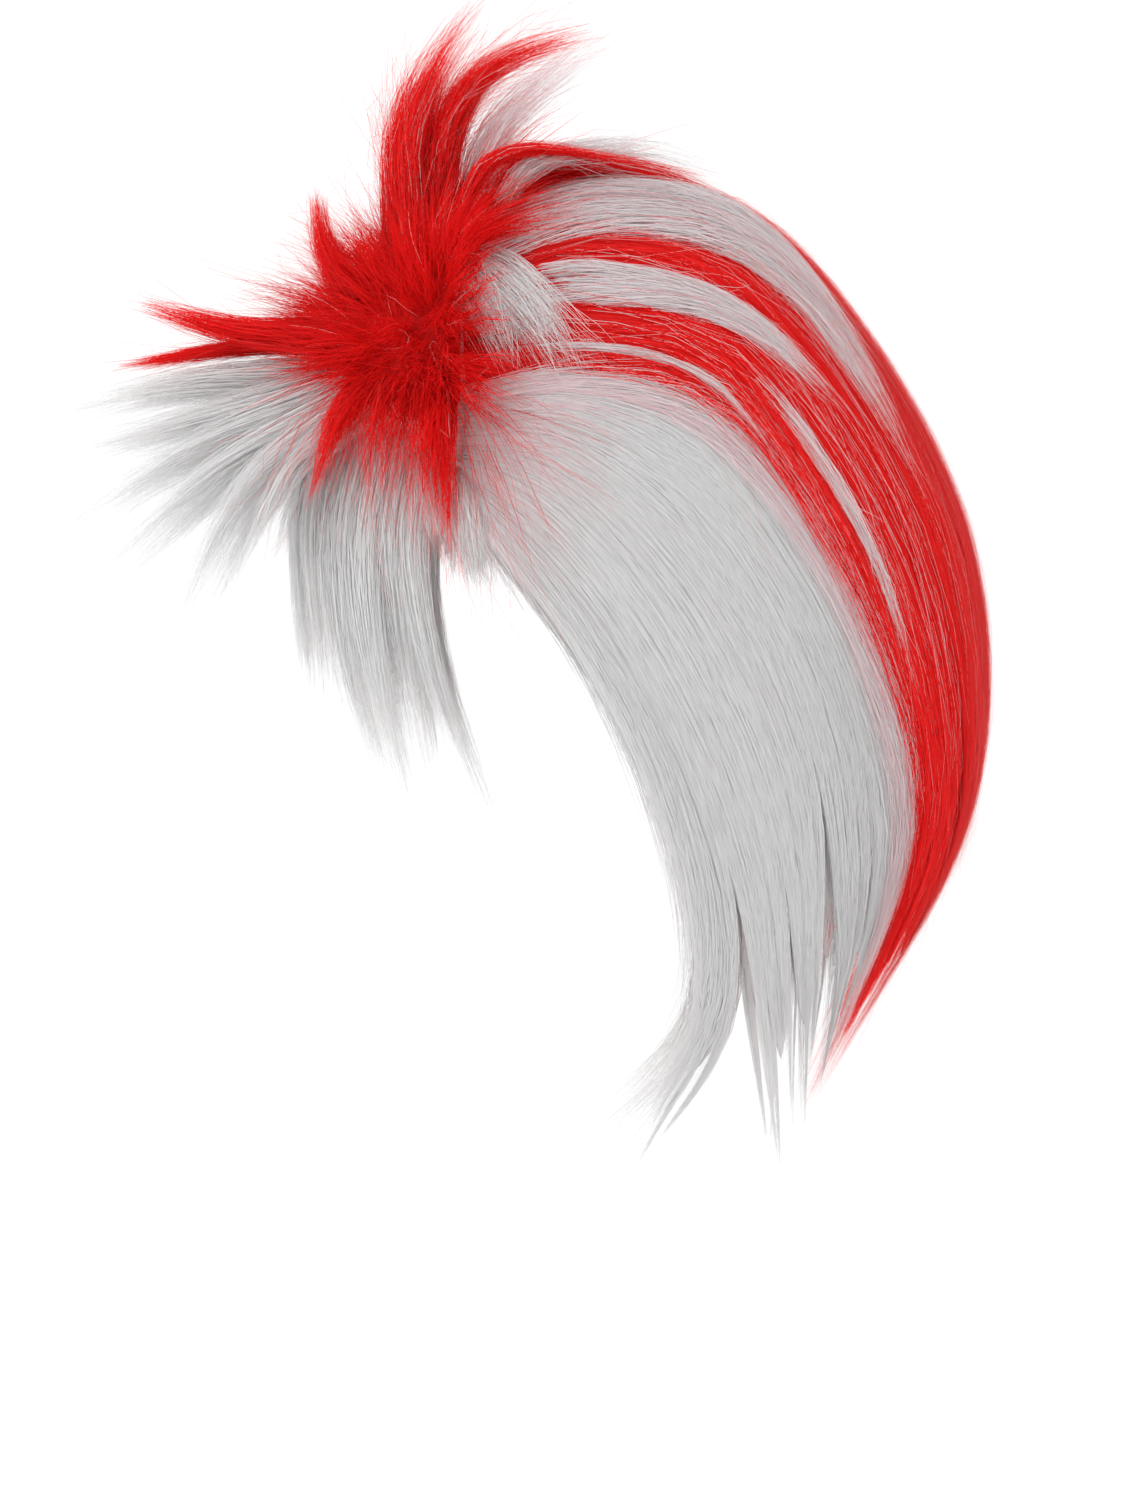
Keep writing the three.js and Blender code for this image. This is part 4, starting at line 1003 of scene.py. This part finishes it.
def fur_backing():
    """The fur fabric of the front, a closed sheet on the cap, drawn in a dark shade as painted shade under
    the fur.
    """
    back = np.linspace(FUR_BACK[0], FUR_FABRIC_END, FUR_FABRIC_ROWS)[:, None] + np.zeros(FUR_FABRIC_COLUMNS)
    lean = fur_edge(back) * np.linspace(-1, 1, FUR_FABRIC_COLUMNS)
    outer = on_cap(back, lean, np.full(back.shape, FUR_FABRIC_OUT))[0]
    inner = on_cap(back, lean, np.full(back.shape, FUR_FABRIC_IN))[0]
    return sheet(outer, inner, FUR_FABRIC_PAINTED_SHADE)


def fur_edge(back):
    """How far the front fur reaches down each side, as a lean."""
    return np.interp(back, FUR_EDGE_BACK, FUR_EDGE_LEAN)


def fur_strands(rng):
    style = FUR_LOOK
    count, clumps = style["strands"], style["clumps"]
    share = np.linspace(0, 1, style["stations"])
    rear = rng.random(count) < FUR_REAR_SHARE
    back = np.where(rear, rng.uniform(*FUR_REAR, count), rng.uniform(*FUR_BACK, count))
    lean = rng.uniform(-1, 1, count) * np.where(rear, FUR_REAR_LEAN, fur_edge(back))
    root, outward = on_cap(back, lean, FUR_ROOT + FUR_RISE * smooth((back - FUR_RISE_FROM) / FUR_RISE_OVER))
    whorl, _ = on_cap(np.full(count, FUR_WHORL["back"]), np.sign(lean) * FUR_WHORL["lean"], np.zeros(count))
    away = root - whorl
    away = away - (away * outward).sum(-1, keepdims=True) * outward
    far = np.linalg.norm(away, axis=-1, keepdims=True)
    away = unit(away) * smooth(far / FUR_WHORL["reach"])
    clump_back = rng.uniform(*FUR_BACK, clumps)
    clump_lean = rng.uniform(-1, 1, clumps) * fur_edge(clump_back)
    clump_root, _ = on_cap(clump_back, clump_lean, np.zeros(clumps))
    clump = np.argmin(np.linalg.norm(root[:, None] - clump_root[None], axis=-1), axis=1)
    sway = rng.normal(0, FUR_SWAY, (clumps, 3))[clump]
    length = rng.uniform(*FUR_LENGTH, count) * rng.uniform(*FUR_CLUMP_LENGTH, clumps)[clump]
    swept = smooth((back - FUR_SWEPT["back"]) / FUR_SWEPT["back_over"])
    swept = (swept * smooth((FUR_SWEPT["lean"] - np.abs(lean)) / FUR_SWEPT["lean_over"]))[:, None]
    backward = unit(BACKWARD - (outward @ BACKWARD)[:, None] * outward)
    along = away * FUR_SPREAD * (1 - swept) + backward * FUR_SWEEP * swept
    upright = outward * (FUR_UPRIGHT - FUR_SWEPT_DROP * swept)
    course = upright[:, None] * share[:, None] + along[:, None] * (share**FUR_BEND_POWER)[:, None]
    length = length * (1 + FUR_SWEPT_LONGER * swept[:, 0])
    stray = sway + rng.normal(0, FUR_STRAY, (count, 3))
    course = course + stray[:, None] * (share**FUR_SWAY_POWER)[None, :, None]
    points = root[:, None] + course * length[:, None, None]
    points[..., 2] -= (FUR_SAG * length)[:, None] * share**2
    gathered = (clump_root[clump] - root)[:, None]
    points = points + gathered * (FUR_GATHER * share**FUR_SWAY_POWER)[None, :, None]
    facing = unit(outward[:, None] * FUR_FACING + unit(rng.normal(size=(count, 1, 3))))
    facing = np.broadcast_to(facing, points.shape)
    return finish_strands(rng, points, facing, strand_shades(rng, style, clump), style)


def add_front_fur(number):
    rng = np.random.default_rng([SEED, number])
    parts = [fur_backing(), fur_strands(rng)]
    for look, locks in FALLING_FUR:
        for lock in locks + [mirrored(lock) for lock in locks]:
            parts += lock_parts(rng, lock, Y_ACROSS, look)
    add_hair("front_fur", "red", parts)


def add_underlayer(number):
    rng = np.random.default_rng([SEED, number])
    sides = [lock for left in UNDERLAYER_SIDES for lock in (left, mirrored(left))]
    parts = []
    for lock in [UNDERLAYER_MIDDLE] + sides:
        parts += lock_parts(rng, lock, X_ACROSS, UNDERLAYER_LOOK)
    add_hair("back_underlayer", "red", parts)


# The cap, with a rolled hem along its edge

CAP_SEGMENTS = 96
CAP_ROWS = 36
CAP_TOP = 0.02
RIM_SMOOTHING = 3
HEM_WIDTH = 7.0
HEM_SWELL = 0.7


def cap_rings(out, hem):
    around = np.arange(CAP_SEGMENTS) * 360 / CAP_SEGMENTS
    drop = np.interp(np.minimum(around, 360 - around), RIM_AROUND, RIM_DROP)
    for _ in range(RIM_SMOOTHING):
        drop = (np.roll(drop, 1) + 2 * drop + np.roll(drop, -1)) / 4
    rim = np.arccos((CAP_AXES[2] - drop) / CAP_AXES[2])
    share = np.linspace(CAP_TOP, 1, CAP_ROWS)
    down = rim[None, :] * share[:, None]
    turn = np.radians(around)[None, :]
    hem_part = np.clip(1 - (rim[None, :] - down) * CAP_AXES[2] / HEM_WIDTH, 0, 1)
    grow = out + hem * HEM_SWELL * np.sin(np.pi * hem_part)
    places = np.stack([
        np.sin(down) * np.sin(turn), -np.sin(down) * np.cos(turn), np.cos(down) + 0 * turn,
    ], axis=-1)
    return places * (CAP_AXES + grow[..., None]) + CAP_CENTRE


def cap_parts():
    outer, inner = cap_rings(CAP_WALL, 0.0), cap_rings(0.0, -1.0)
    top = np.array([[0, 0, CAP_WALL], [0, 0, 0.0]])
    verts = np.vstack([outer.reshape(-1, 3), inner.reshape(-1, 3), top])
    size = CAP_ROWS * CAP_SEGMENTS
    band, corner, after = tube_quads(CAP_ROWS, CAP_SEGMENTS)
    last = (CAP_ROWS - 1) * CAP_SEGMENTS
    edge = np.stack([last + corner, last + size + corner, last + size + after, last + after], axis=-1)
    quads = np.vstack([band, band[:, ::-1] + size, edge])
    crown = np.stack([np.full(CAP_SEGMENTS, 2 * size), corner, after], axis=-1)
    lining = np.stack([np.full(CAP_SEGMENTS, 2 * size + 1), size + after, size + corner], axis=-1)
    return [(verts, [quads, np.vstack([crown, lining])], np.zeros((len(verts), 2)))]


def cap_material():
    """A knitted fabric: fine rows of loops with a little unevenness."""
    material, tree, shader = new_material("cap_fabric")
    place = add_node(tree, "TexCoord").outputs["Object"]
    loops = add_node(tree, "TexVoronoi", Scale=KNIT_LOOPS, Vector=place).outputs["Distance"]
    rows = add_node(
        tree, "TexWave", dict(bands_direction="Z"), Scale=KNIT_ROWS, Distortion=KNIT_DISTORTION,
        Detail_Scale=KNIT_DETAIL, Vector=place,
    ).outputs["Color"]
    uneven = add_node(tree, "TexNoise", Scale=UNEVEN_SCALE, Vector=place).outputs["Fac"]
    blend = dict(data_type="RGBA")
    knit = add_node(tree, "Mix", blend, Factor=KNIT_ROWS_SHARE, A=loops, B=rows).outputs["Result"]
    tone = add_node(tree, "Mix", blend, Factor=UNEVEN_SHARE, A=knit, B=uneven).outputs["Result"]
    bump = add_node(tree, "Bump", Strength=KNIT_BUMP, Distance=KNIT_RELIEF, Height=knit)
    plug(tree, shader, Base_Color=ramp(tree, KNIT_SHADES, tone), Normal=bump.outputs["Normal"])
    plug(tree, shader, Roughness=KNIT_ROUGHNESS, Specular_IOR_Level=KNIT_SPECULAR)
    return material


def add_cap():
    piece = add_piece("cap", cap_material(), cap_parts())
    piece.data.uv_layers.remove(piece.data.uv_layers["OFBake"])


# Floor, light and camera

FLOOR_UP = -545 * MM
FLOOR_SIZE = 40.0
PAPER_COLOUR = (0.98, 0.98, 0.98, 1)
PAPER_ROUGHNESS = 0.9
CLIP_END = 100
WORLD_STRENGTH = 1.06
LIGHT_TARGET = (0, 0, -0.15)
LIGHT_SIZE = 1.2
LIGHTS = [
    ("key", (1.4, -0.9, 1.1), 9),
    ("back_fill", (1.2, 1.5, 0.4), 4),
    ("front_fill", (1.2, -1.3, -0.4), 6.5),
]


def add_stage():
    bpy.ops.mesh.primitive_plane_add(size=FLOOR_SIZE, location=(0, 0, FLOOR_UP))
    floor = bpy.context.object
    floor.name = "floor"
    paper, tree, shader = new_material("paper")
    plug(tree, shader, Base_Color=PAPER_COLOUR, Roughness=PAPER_ROUGHNESS)
    floor.data.materials.append(paper)


def add_light(name, place, energy):
    data = bpy.data.lights.new(name, "AREA")
    data.size = LIGHT_SIZE
    data.energy = energy
    lamp = bpy.data.objects.new(name, data)
    bpy.context.scene.collection.objects.link(lamp)
    lamp.location = place
    aim = np.array(LIGHT_TARGET) - np.array(place)
    lamp.rotation_mode = "QUATERNION"
    lamp.rotation_quaternion = Vector(aim).to_track_quat("-Z", "Y")


def add_world():
    world = bpy.data.worlds.new("studio")
    world.use_nodes = True
    back = world.node_tree.nodes["Background"]
    back.inputs["Color"].default_value = (1, 1, 1, 1)
    back.inputs["Strength"].default_value = WORLD_STRENGTH
    bpy.context.scene.world = world


def add_camera():
    data = bpy.data.cameras.new("camera")
    data.sensor_width = SENSOR
    data.lens = SENSOR * CAMERA_DISTANCE / (PHOTO_HEIGHT / PHOTO_SCALE * MM)
    data.clip_end = CLIP_END
    camera = bpy.data.objects.new("camera", data)
    camera.location = (CAMERA_DISTANCE, CAMERA_BACK, CAMERA_UP)
    camera.rotation_euler = (math.radians(90), 0, math.radians(90))
    bpy.context.scene.collection.objects.link(camera)
    bpy.context.scene.camera = camera


add_camera()
add_world()
add_stage()
for light in LIGHTS:
    add_light(*light)
bpy.context.scene.view_settings.view_transform = "Standard"

MAKERS = [(add_tufts, TUFTS), (add_stripe, STRIPES), (add_panel, PANELS)]
jobs = [(add, row) for add, table in MAKERS for row in table]
for number, (add, row) in enumerate(jobs, 1):
    add(number, row)
add_front_fur(len(jobs) + 1)
add_underlayer(len(jobs) + 2)
add_cap()
